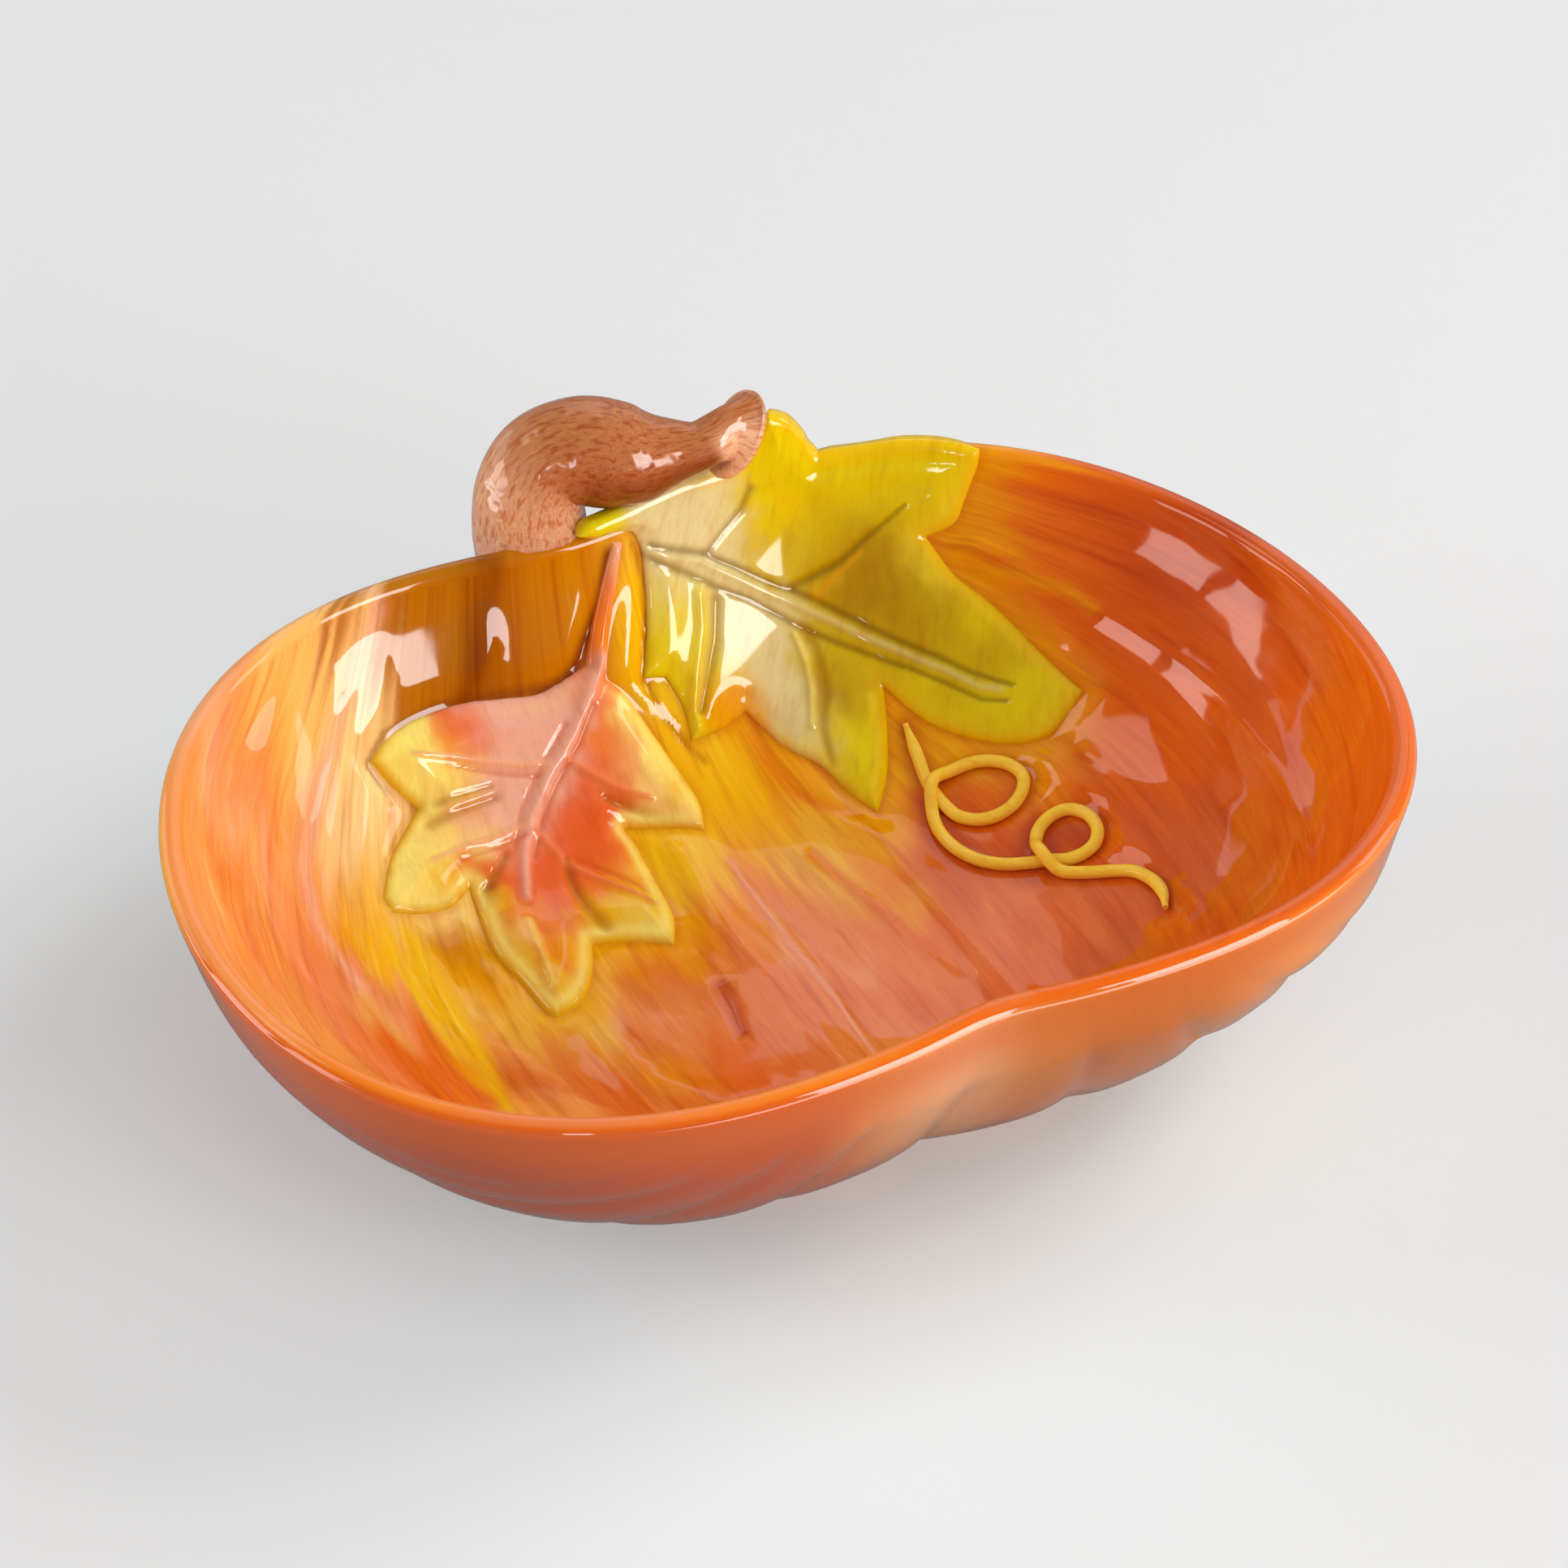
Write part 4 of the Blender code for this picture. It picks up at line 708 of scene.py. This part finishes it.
def stroked(places, strokes, paint=None):
    """Draws strokes over a paint; without a paint, gives the height that they add."""
    height = np.zeros(len(places))
    for line, width, thinning, name, strength, lift in strokes:
        nearest, reached = line_distance(places, drawn(line))
        touch = halo(nearest, width * (1 - thinning * reached))
        height += lift * touch
        if paint is not None:
            paint = mixed(paint, glazes[name], strength * touch)
    return height if paint is None else paint


def mark(piece, name, values):
    """Stores a vector or a colour for each point of a piece."""
    values = np.asarray(values, dtype=float)
    kind, part = {4: ("FLOAT_COLOR", "color"), 3: ("FLOAT_VECTOR", "vector")}[values.shape[1]]
    piece.data.attributes.new(name, kind, "POINT").data.foreach_set(part, values.ravel())


def coat(piece, paint, bristles, brush):
    """Stores the laid colour, how strong the bristle marks are, and the direction of the stroke."""
    mark(piece, "paint", np.concatenate([paint, np.broadcast_to(bristles, (1, len(paint))).T], 1))
    mark(piece, "brush", brush)


# %% [markdown]
# ## One glaze recipe
#
# All five finishes are the same kind of glass over brushed colour. The recipe reads the laid colour, drags
# darker and lighter bristle marks through it along the stroke, and floats a clear, slightly uneven gloss
# over it.

# %% Glaze recipe
GLASS_IOR = 1.55


def glaze_finish(name, strokes, darker, lighter, ripple=0.00022, ripple_scale=75.0, gloss=(0.035, 0.08)):
    """A fired glaze. Strokes gives the bristle scale across and along, darker and lighter how strong the
    marks are, ripple the depth of the uneven gloss in metres, and gloss its least and greatest roughness."""
    finish = bpy.data.materials.new(name)
    finish.use_nodes = True
    tree = finish.node_tree
    laid = add_node(tree, "Attribute", {}, attribute_name="paint")
    brush = add_node(tree, "Attribute", {}, attribute_name="brush")
    colour = laid.outputs["Color"]
    for index, (scale, strength, tint) in enumerate((
            (1.0, darker, (0.80, 0.56, 0.42, 1)), (2.9, darker * 0.4, (0.84, 0.62, 0.48, 1)),
            (1.7, lighter, (1.08, 1.32, 1.05, 1)))):
        stretch = add_node(tree, "Mapping", {
            "Vector": brush.outputs["Vector"], "Scale": (strokes[0] * scale, strokes[1] * scale, 1),
            "Location": (3.1 * index, 7.7 * index, 0)})
        bristle = add_node(tree, "TexNoise", {"Vector": stretch.outputs["Vector"], "Scale": 1, "Detail": 3,
                                              "Roughness": 0.6})
        contrast = add_node(tree, "MapRange", {"Value": bristle.outputs["Fac"], "From Min": 0.5,
                                               "From Max": 0.68, "To Max": strength})
        share = add_node(tree, "Math", {0: contrast.outputs["Result"], 1: laid.outputs["Alpha"]},
                         operation="MULTIPLY")
        colour = add_node(tree, "Mix", {0: share.outputs[0], 6: colour, 7: tint}, data_type="RGBA",
                          blend_type="MULTIPLY").outputs[2]

    place = add_node(tree, "TexCoord", {}).outputs["Object"]
    wave = add_node(tree, "TexNoise", {"Vector": place, "Scale": ripple_scale, "Detail": 1}).outputs["Fac"]
    bump = add_node(tree, "Bump", {"Strength": 1, "Distance": ripple, "Height": wave})
    worn = add_node(tree, "MapRange", {"Value": wave, "To Min": gloss[0], "To Max": gloss[1]})
    shader = tree.nodes["Principled BSDF"]
    shader.inputs["IOR"].default_value = GLASS_IOR
    tree.links.new(colour, shader.inputs["Base Color"])
    tree.links.new(bump.outputs["Normal"], shader.inputs["Normal"])
    tree.links.new(worn.outputs["Result"], shader.inputs["Roughness"])
    return finish


def finished(piece, node, finish):
    """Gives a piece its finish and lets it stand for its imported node."""
    piece.data.materials.clear()
    piece.data.materials.append(finish)
    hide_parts(node)
    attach(piece, "root")
    print(piece.name, len(piece.data.polygons), "faces")


# %% [markdown]
# ## The shell
#
# A mould-pressed shell starts as a flat slab. Here a flat grid plays the slab: its rows are laid ring by
# ring over the inside, the rounded rim, the grooved outside, the foot ring and the underside, and the seam
# is welded.

# %% Slab helpers
def only_chosen(piece):
    """Selects one piece and nothing else, since operators act on all that is selected."""
    bpy.ops.object.select_all(action="DESELECT")
    bpy.context.view_layer.objects.active = piece
    piece.select_set(True)


def points_of(piece):
    """The places of a piece's points, one row for each."""
    flat = np.empty(len(piece.data.vertices) * 3)
    piece.data.vertices.foreach_get("co", flat)
    return flat.reshape(-1, 3)


def curled_slab(name, rings):
    """Adds a flat grid and lays its rows on the given rings of points."""
    count, sides = rings.shape[:2]
    bpy.ops.object.select_all(action="DESELECT")
    bpy.ops.mesh.primitive_grid_add(x_subdivisions=sides, y_subdivisions=count - 1, size=2)
    piece = bpy.context.object
    piece.name = piece.data.name = name
    flat = points_of(piece)
    column = np.rint((flat[:, 0] + 1) / 2 * sides).astype(int) % sides
    row = np.rint((flat[:, 1] + 1) / 2 * (count - 1)).astype(int)
    piece.data.vertices.foreach_set("co", placed(rings[row, column]).ravel())
    return piece, row, column


def welded(piece):
    """Joins the seam and the poles of a curled slab, and turns its faces outwards."""
    only_chosen(piece)
    bpy.ops.object.mode_set(mode="EDIT")
    bpy.ops.mesh.select_all(action="SELECT")
    bpy.ops.mesh.remove_doubles(threshold=0.00001)
    bpy.ops.mesh.normals_make_consistent(inside=False)
    bpy.ops.object.mode_set(mode="OBJECT")
    bpy.ops.object.shade_smooth()


# %% Rings of the inside
SPOKES, INNER_RINGS, CREST_RINGS, OUTER_RINGS = 520, 112, 13, 44
RIB_HEIGHT, GROOVE_HEIGHT, GROOVE_SHIFT = 1.3, 1.7, 0.12
SMOOTH_BESIDE = 7.0
FOOT_PROFILE = ((0.5, 1.6), (1.0, 0.8), (1.4, 0.25), (2.0, 0.0), (3.5, 0.0), (5.0, 0.0), (5.6, 0.3),
                (6.0, 1.0), (6.6, 3.2), (7.0, 4.6), (7.8, RECESS), (9.0, RECESS), (20.0, RECESS),
                (40.0, RECESS))
directions = math.tau * np.arange(SPOKES) / SPOKES
across, ahead = np.sin(directions), np.cos(directions)
edge = edge_radius(directions)
reach = edge - WALL
_, middle_lengths = wall_lengths(np.array([math.pi / 3]))
inner_shares = np.interp(np.linspace(0, 1, INNER_RINGS), middle_lengths[0] / middle_lengths[0, -1], SHARES)
_, spoke_lengths = wall_lengths(directions)

rings, places, strand_near, green_near, autumn_near = [], [], [], [], []
for share in inner_shares:
    along = np.array([np.interp(share, SHARES, row) for row in spoke_lengths])
    flat = np.stack([along * across, along * ahead], -1)
    by_strand = line_distance(flat, strand)[0]
    by_green, by_autumn = (line_distance(flat, closed(leaf))[0] for leaf in (green_edge, autumn_edge))
    near = np.minimum(by_green, by_autumn)
    covered = inside(flat, green_edge) | inside(flat, autumn_edge)
    open_wall = np.where(covered, 0, eased(np.minimum(near, by_strand) / SMOOTH_BESIDE))
    ribs = RIB_HEIGHT * rib(share * reach * across, share * reach * ahead) + flare(share)
    lift = ribs * open_wall + stroked(flat, wall_strokes) * np.where(covered, 0, 1)
    rings.append(slid(directions, share * reach, inner_level(share), lift * eased((1 - share) / RIM_MARGIN),
                      slope_of(inner_level, np.array(share)) / reach))
    for found, values in ((green_near, by_green), (autumn_near, by_autumn), (strand_near, by_strand),
                          (places, flat)):
        found.append(values)
inner_count = len(rings)
print("rings inside:", inner_count)

# %% Rings of the rim, the outside and the foot
for turned in np.linspace(0, math.pi, CREST_RINGS + 1)[1:]:
    rings.append(round_axis(directions, edge - WALL / 2 - WALL / 2 * math.cos(turned),
                            SIDE_LEVEL + WALL / 2 * math.sin(turned)))
crest_count = len(rings)
for share in 1 - (1 - FOOT_SHARE) * np.linspace(0, 1, OUTER_RINGS + 1)[1:] ** 1.7:
    fade = eased((1 - share) / RIM_FADE) * eased((share - FOOT_SHARE) / RIM_FADE)
    grooves = GROOVE_HEIGHT * fade * rib(share * edge * across, share * edge * ahead, GROOVE_SHIFT)
    rings.append(slid(directions, share * edge, outer_level(share), grooves - belly(directions, share),
                      slope_of(outer_level, np.array(share)) / edge))
for inset, level in FOOT_PROFILE:
    rings.append(round_axis(directions, np.maximum(FOOT_SHARE * edge - inset, 0), level))
rings.append(round_axis(directions, 0.0, RECESS))
rings = np.array(rings)
places, strand_near, green_near, autumn_near = map(np.array, (places, strand_near, green_near, autumn_near))
print("rings of the shell:", len(rings))

# %% [markdown]
# ## The shell's glaze
#
# Inside, the wall is painted darker in a narrow band against the leaves and the tendril, as painted shade,
# and turns gold and yellow beside the leaves. Over the rim the inside colour runs to a thin flame line in
# front and a gold one at the back, where the outer colour begins.

# %% Shell
shell, row, column = curled_slab("shell_glazed", rings)
spots = rings[row, column]
x, y = spots[:, 0], spots[:, 1]
is_inner = row < inner_count
nearest = np.minimum(row, inner_count - 1), column
inner_paint = stroked(places[nearest], wall_strokes, dragged(x, y, inside_dabs, 5))
by_green, by_autumn = green_near[nearest], autumn_near[nearest]
inner_paint = mixed(inner_paint, glazes["gold"], 0.75 * halo(by_green, 5.5) * eased((x - 8) / 20))
inner_paint = mixed(inner_paint, glazes["yellow"], 0.5 * halo(by_autumn, 5.0) * eased((62 - y) / 12))
by_leaf, by_strand = np.minimum(by_green, by_autumn), np.where(is_inner, strand_near[nearest], np.inf)
# Painted shade: the wall is darkened in a narrow band beside the leaves, and darker red beside the tendril.
inner_paint = mixed(inner_paint, inner_paint * (0.78, 0.58, 0.40), 0.6 * halo(by_leaf, 1.2))
inner_paint = mixed(inner_paint, glazes["deep"], 0.7 * halo(by_strand, 2.3))

depth = np.clip((CREST - spots[:, 2]) / CREST, 0, 1)
outer_paint = dabbed(x, y, outside_dabs)
# Painted reflection: the outside turns pinker towards the foot, a reflection of the pale floor.
outer_paint = mixed(outer_paint, glazes["blush"], 0.25 * eased((depth - 0.45) / 0.4))
outer_paint = mixed(outer_paint, glazes["tangerine"], 0.6 * halo(depth - 0.08, 0.10))

back = eased((y / 80 + 0.25) / 0.5)
over_rim = np.clip((row - inner_count + 1) / CREST_RINGS, 0, 1)
front_line = mixed(mixed(inner_paint, glazes["flame"], eased((over_rim - 0.66) / 0.08)),
                   outer_paint, eased((over_rim - 0.76) / 0.12))
back_line = mixed(inner_paint, glazes["gold"], eased((over_rim - 0.66) / 0.2))
rim_paint = mixed(front_line, back_line, back)
outer_paint = mixed(outer_paint, glazes["straw"], back * eased((6 - row + crest_count) / 6))
paint = np.where(is_inner[:, None], inner_paint,
                 np.where((row >= crest_count)[:, None], outer_paint, rim_paint))
coat(shell, paint, np.where(is_inner, 1.0, 0.12),
     np.stack([rib_turn(x, y) * 380, y, np.where(is_inner, 0.0, 40.0)], -1))
welded(shell)
finished(shell, "bowl_body", glaze_finish("orange_glaze", (0.30, 0.03), 0.7, 0.6))

# %% [markdown]
# ## The leaves
#
# A leaf is rolled flat, cut out, laid into the mould and pressed until it bends with the wall, and its
# veins are drawn with a tool. So the flat outline is filled with an even net of triangles, each point gets
# a height from how far it lies from the margin and the veins, and the net is then pressed onto the wall.

# %% Leaf net
LEAF_SPACING, EDGE_SPACING, INSET_DEPTHS = 0.65, 0.7, (0.25, 0.6, 1.1)


def even_outline(edge, spacing):
    """The same outline with points at an even distance."""
    ring = closed(edge)
    run = run_along(ring)
    at = np.linspace(0, run[-1], int(run[-1] / spacing))[:-1]
    at = np.unique(np.concatenate([at, run[:-1]]).round(3))
    at = at[np.concatenate([[True], np.diff(at) > spacing * 0.3])]
    return np.stack([np.interp(at, run, ring[:, 0]), np.interp(at, run, ring[:, 1])], -1)


def inset_row(edge, depth):
    """Points at a fixed depth inside the outline."""
    run = np.roll(edge, -1, axis=0) - np.roll(edge, 1, axis=0)
    side = np.stack([run[:, 1], -run[:, 0]], -1) / np.hypot(*run.T)[:, None]
    rows = [edge + sign * depth * side for sign in (1, -1)]
    row = rows[0] if inside(rows[0], edge).mean() > 0.5 else rows[1]
    return row[inside(row, edge) & (line_distance(row, closed(edge))[0] > 0.93 * depth)]


def leaf_net(edge, spacing):
    """Points in rows along the outline and evenly inside it, joined to triangles."""
    rows = [inset_row(edge, depth) for depth in INSET_DEPTHS]
    low, high = edge.min(0), edge.max(0)
    across, up = np.meshgrid(np.arange(low[0], high[0], spacing),
                             np.arange(low[1], high[1], spacing * 0.866))
    across[1::2] += spacing / 2
    spots = np.stack([across.ravel(), up.ravel()], -1)
    spots = spots[inside(spots, edge)]
    spots = spots[line_distance(spots, closed(edge))[0] > INSET_DEPTHS[-1] + spacing * 0.6]
    flat = [Vector(spot) for spot in np.concatenate([edge, *rows, spots])]
    joined, _, faces, _, _, _ = delaunay_2d_cdt(flat, [], [list(range(len(edge)))], 0, 1e-4, True)
    net = np.array([tuple(spot) for spot in joined])
    faces = np.array([tuple(face) for face in faces])
    return net, faces[inside(net[faces].mean(1), edge)]


# %% Leaf body
EDGE_HEIGHT, EDGE_ROUNDING, CROWN_RUN, UNDERSIDE = 1.5, 1.8, 7.0, -0.6


def round_edge(margin, run):
    """A quarter circle: 0 at the margin, 1 from run inwards."""
    return np.sqrt(1 - (1 - np.clip(margin / run, 0, 1)) ** 2)


def pressed_leaf(name, outline, strokes, crown):
    """A leaf as a closed sheet: relief above, and an underside that lies just below the wall's face."""
    edge = even_outline(outline, EDGE_SPACING)
    net, faces = leaf_net(edge, LEAF_SPACING)
    margin = line_distance(net, closed(edge))[0]
    veins = stroked(net, strokes) * eased(margin / 2.5)
    height = (-0.3 + EDGE_HEIGHT * round_edge(margin, EDGE_ROUNDING)
              + crown * eased(margin / CROWN_RUN) + veins)
    top = pressed(net, height)
    bottom = pressed(net, UNDERSIDE, 3.4 * round_edge(margin, 2.0))
    count = len(net)
    border = faces[:, [0, 1, 1, 2, 2, 0]].reshape(-1, 2)
    found = {tuple(pair) for pair in border}
    rim = [pair for pair in found if pair[::-1] not in found]
    sides = [(a, a + count, b + count) for a, b in rim] + [(a, b + count, b) for a, b in rim]
    mesh = bpy.data.meshes.new(name)
    mesh.from_pydata(placed(np.concatenate([top, bottom])).tolist(), [], [
        *map(tuple, faces.tolist()), *(tuple(face[::-1] + count) for face in faces), *sides])
    mesh.shade_smooth()
    piece = bpy.data.objects.new(name, mesh)
    bpy.context.collection.objects.link(piece)
    return piece, np.concatenate([net, net]), np.tile(margin, 2)


def leaf_paint(net, dabs, strokes, seed):
    """Dabs with wavering borders, and the strokes over them."""
    waver = np.stack([grain(net[:, 0] / 3, net[:, 1] / 3, each) for each in (seed, seed + 1)], -1)
    moved = net / STRETCH + 4.0 * (waver - 0.5)
    return stroked(net, strokes, dabbed(moved[:, 0], moved[:, 1], dabs))


# %% [markdown]
# ## The two leaves' glazes
#
# The green leaf has olive pools, a pale patch near the stem that is paler glaze with a painted reflection
# in it, and a sunny margin. The autumn leaf is red and rose along its veins and yellow at its margin, with a
# pale band inside it; the rose over its upper half holds a painted reflection, the pale line down its stalk
# is a painted highlight, and it bulges more between its veins.

# %% Green leaf
GREEN_CROWN, AUTUMN_CROWN = 1.4, 2.2
green, net, margin = pressed_leaf("green_leaf_glazed", green_edge, green_strokes, GREEN_CROWN)
paint = leaf_paint(net, green_dabs, green_strokes, 3)
paint = mixed(paint, glazes["sun"], 0.75 * halo(margin, 2.2) * eased((net[:, 0] - 20) / 30))
along = (net - green_edge.min(0)) @ np.array([[0.66, 0.75], [0.75, -0.66]])
coat(green, paint, 1.0, np.concatenate([along[:, ::-1], np.zeros((len(along), 1))], 1))
finished(green, "green_leaf", glaze_finish("leaf_green_glaze", (0.35, 0.09), 0.35, 0.2))

# %% Autumn leaf
autumn, net, margin = pressed_leaf("autumn_leaf_glazed", autumn_edge, autumn_strokes, AUTUMN_CROWN)
paint = leaf_paint(net, autumn_dabs, autumn_strokes, 8)
off_stalk = eased((78 - net[:, 1]) / 8)
paint = mixed(paint, glazes["vanilla"], 0.7 * halo(margin - 2.0, 1.3) * off_stalk)
paint = mixed(paint, glazes["sun"], 0.8 * halo(margin, 1.0) * off_stalk)
coat(autumn, paint, 1.0, np.concatenate([net, np.zeros((len(net), 1))], 1))
finished(autumn, "autumn_leaf", glaze_finish("leaf_red_glaze", (0.35, 0.12), 0.35, 0.25))

# %% [markdown]
# ## The tendril
#
# One strand of clay is rolled thin, laid down in two loops and pressed on. A curve with a round bevel makes
# the strand; its ends taper, and it rises where it crosses itself.

# %% Tendril
STRAND_RADIUS, STRAND_TIP, STRAND_RUN, STRAND_HUMP = 1.35, 0.45, 6.5, 2.7
run = run_along(strand)
over = []
for first in range(len(strand) - 1):
    for second in range(first + 6, len(strand) - 1):
        a, b, c, d = strand[first], strand[first + 1], strand[second], strand[second + 1]
        one = np.cross(b - a, c - a) * np.cross(b - a, d - a)
        two = np.cross(d - c, a - c) * np.cross(d - c, b - c)
        if one < 0 and two < 0:
            over.append(run[second])
hump = np.max([eased(1 - np.abs(run - at) / STRAND_RUN) for at in over], axis=0)
route = placed(pressed(strand, 1.0 + STRAND_HUMP * hump))
curve = bpy.data.curves.new("tendril_glazed", "CURVE")
curve.dimensions = "3D"
curve.bevel_depth = STRAND_RADIUS * MM
curve.bevel_resolution = 5
curve.use_fill_caps = True
spline = curve.splines.new("POLY")
spline.points.add(len(route) - 1)
for point, place, gone in zip(spline.points, route, run):
    point.co = (*place, 1)
    point.radius = STRAND_TIP + (1 - STRAND_TIP) * float(eased(min(gone, run[-1] - gone) / STRAND_RUN))
tendril = bpy.data.objects.new("tendril_glazed", curve)
bpy.context.collection.objects.link(tendril)
only_chosen(tendril)
bpy.ops.object.convert(target="MESH")
tendril = bpy.context.object
bpy.ops.object.shade_smooth()
spots = points_of(tendril) / MM
coat(tendril, np.tile(glaze(255, 212, 66), (len(spots), 1)), 0.6, spots)
finished(tendril, "vine_tendril", glaze_finish("tendril_glaze", (0.3, 0.3), 0.5, 0.3))

# %% [markdown]
# ## The stem
#
# The stem is a thick roll of clay, bent over and flared at its cut end, with the marks of many short brush
# dashes. It is swept along the same spine as its solid, with more rings. Each point of the spine is a
# place, measured from the rim's edge and crest, and a radius. The roll is flatter towards its end, which is
# dished, and its foot is kept out of the bowl. The paint goes from rose at the root to tan, with brown on the
# underside and sides as painted shade, and to peach at the cut.

# %% Stem
stem_spine = np.array([
    (-8.4, 3.9, -17.0, 10.4), (-8.1, 5.4, -9.5, 11.1), (-7.9, 6.7, -1.7, 11.5), (-7.5, 7.3, 6.2, 10.8),
    (-4.0, 7.0, 12.2, 10.4), (2.6, 5.2, 13.8, 10.9), (8.4, 3.0, 12.6, 10.9), (13.9, 0.4, 12.0, 9.6),
    (19.2, -2.0, 12.7, 7.0), (24.0, -4.0, 13.6, 5.2), (27.4, -4.5, 14.6, 5.0), (30.4, -4.3, 14.8, 6.5),
    (32.6, -3.9, 13.8, 9.7)])
STEM_SIDES, STEM_FLATTENING = 96, 0.42
CUT_END = ((1.0, 0.9), (0.96, 1.5), (0.88, 1.6), (0.76, 1.0), (0.6, -0.3), (0.4, -1.8), (0.2, -2.7),
           (0.0, -3.0))
spine = curve_through(stem_spine, 9)
centres, radii = spine[:, :3] + (0, float(edge_radius(0.0)), CREST), spine[:, 3]
headings = np.gradient(centres, axis=0)
headings /= np.linalg.norm(headings, axis=1)[:, None]
around = math.tau * np.arange(STEM_SIDES) / STEM_SIDES
side = np.array([0.0, 1.0, 0.0])
stem_rings = []
for centre, heading, radius in zip(centres, headings, radii):
    side = side - (side @ heading) * heading
    side /= np.linalg.norm(side)
    up = np.cross(heading, side)
    stem_rings.append(centre + radius * (np.cos(around)[:, None] * side + np.sin(around)[:, None] * up))
flatter = 1 - STEM_FLATTENING * eased((np.arange(len(centres)) / (len(centres) - 1) - 0.82) / 0.12)
for ring, centre, part in zip(stem_rings, centres, flatter):
    ring[:, 1] = centre[1] + (ring[:, 1] - centre[1]) * part
base = [centres[0] - headings[0] * 1.6 + (stem_rings[0] - centres[0]) * part for part in (0.0, 0.6)]
ending = [centres[-1] + headings[-1] * ahead_by + (stem_rings[-1] - centres[-1]) * part
          for part, ahead_by in CUT_END]
stem_rings = np.array(base + stem_rings + ending)

outward, level = np.hypot(stem_rings[..., 0], stem_rings[..., 1]), stem_rings[..., 2]
least = (edge_radius(np.arctan2(stem_rings[..., 0], stem_rings[..., 1])) - 3.6
         - 9.0 * eased((level - 66.0) / 3.0))
held = np.maximum(1, least / outward) * (level < 69) + (level >= 69)
stem_rings[..., :2] *= held[..., None]
print("rings of the stem:", len(stem_rings))

# %% Stem finish
stem, row, column = curled_slab("stem_glazed", stem_rings)
spots = stem_rings[row, column]
along = np.concatenate([[0], np.cumsum(np.linalg.norm(np.diff(stem_rings.mean(1), axis=0), axis=1))])[row]
way = np.clip((row - len(base)) / (len(centres) - 1), 0, 1)
middle = np.concatenate([centres[:1], centres[:1], centres, np.tile(centres[-1], (len(ending), 1))])[row]
raised = (spots - middle)[:, 2] / np.maximum(np.linalg.norm(spots - middle, axis=1), 1)
paint = np.tile(glaze(208, 158, 140), (len(way), 1))
# Painted shade: the brown is laid on the underside and the sides only, and the top stays tan.
for colour, part in ((glaze(216, 158, 122), eased((way - 0.08) / 0.15)),
                     (glaze(184, 110, 66), eased((way - 0.24) / 0.14)),
                     (glaze(128, 56, 22), 0.8 * eased((way - 0.32) / 0.15) * eased((0.45 - raised) / 0.8)),
                     (glaze(240, 186, 150), eased((way - 0.78) / 0.08) * eased((1.0 - raised) / 0.7))):
    paint = mixed(paint, colour, part)
coat(stem, paint, 1.0, np.stack([column / STEM_SIDES * 60, along, np.zeros(len(along))], -1))
welded(stem)
finished(stem, "stem_handle",
         glaze_finish("stem_glaze", (1.1, 0.36), 1.6, 1.1, 0.0006, 230.0, (0.06, 0.16)))
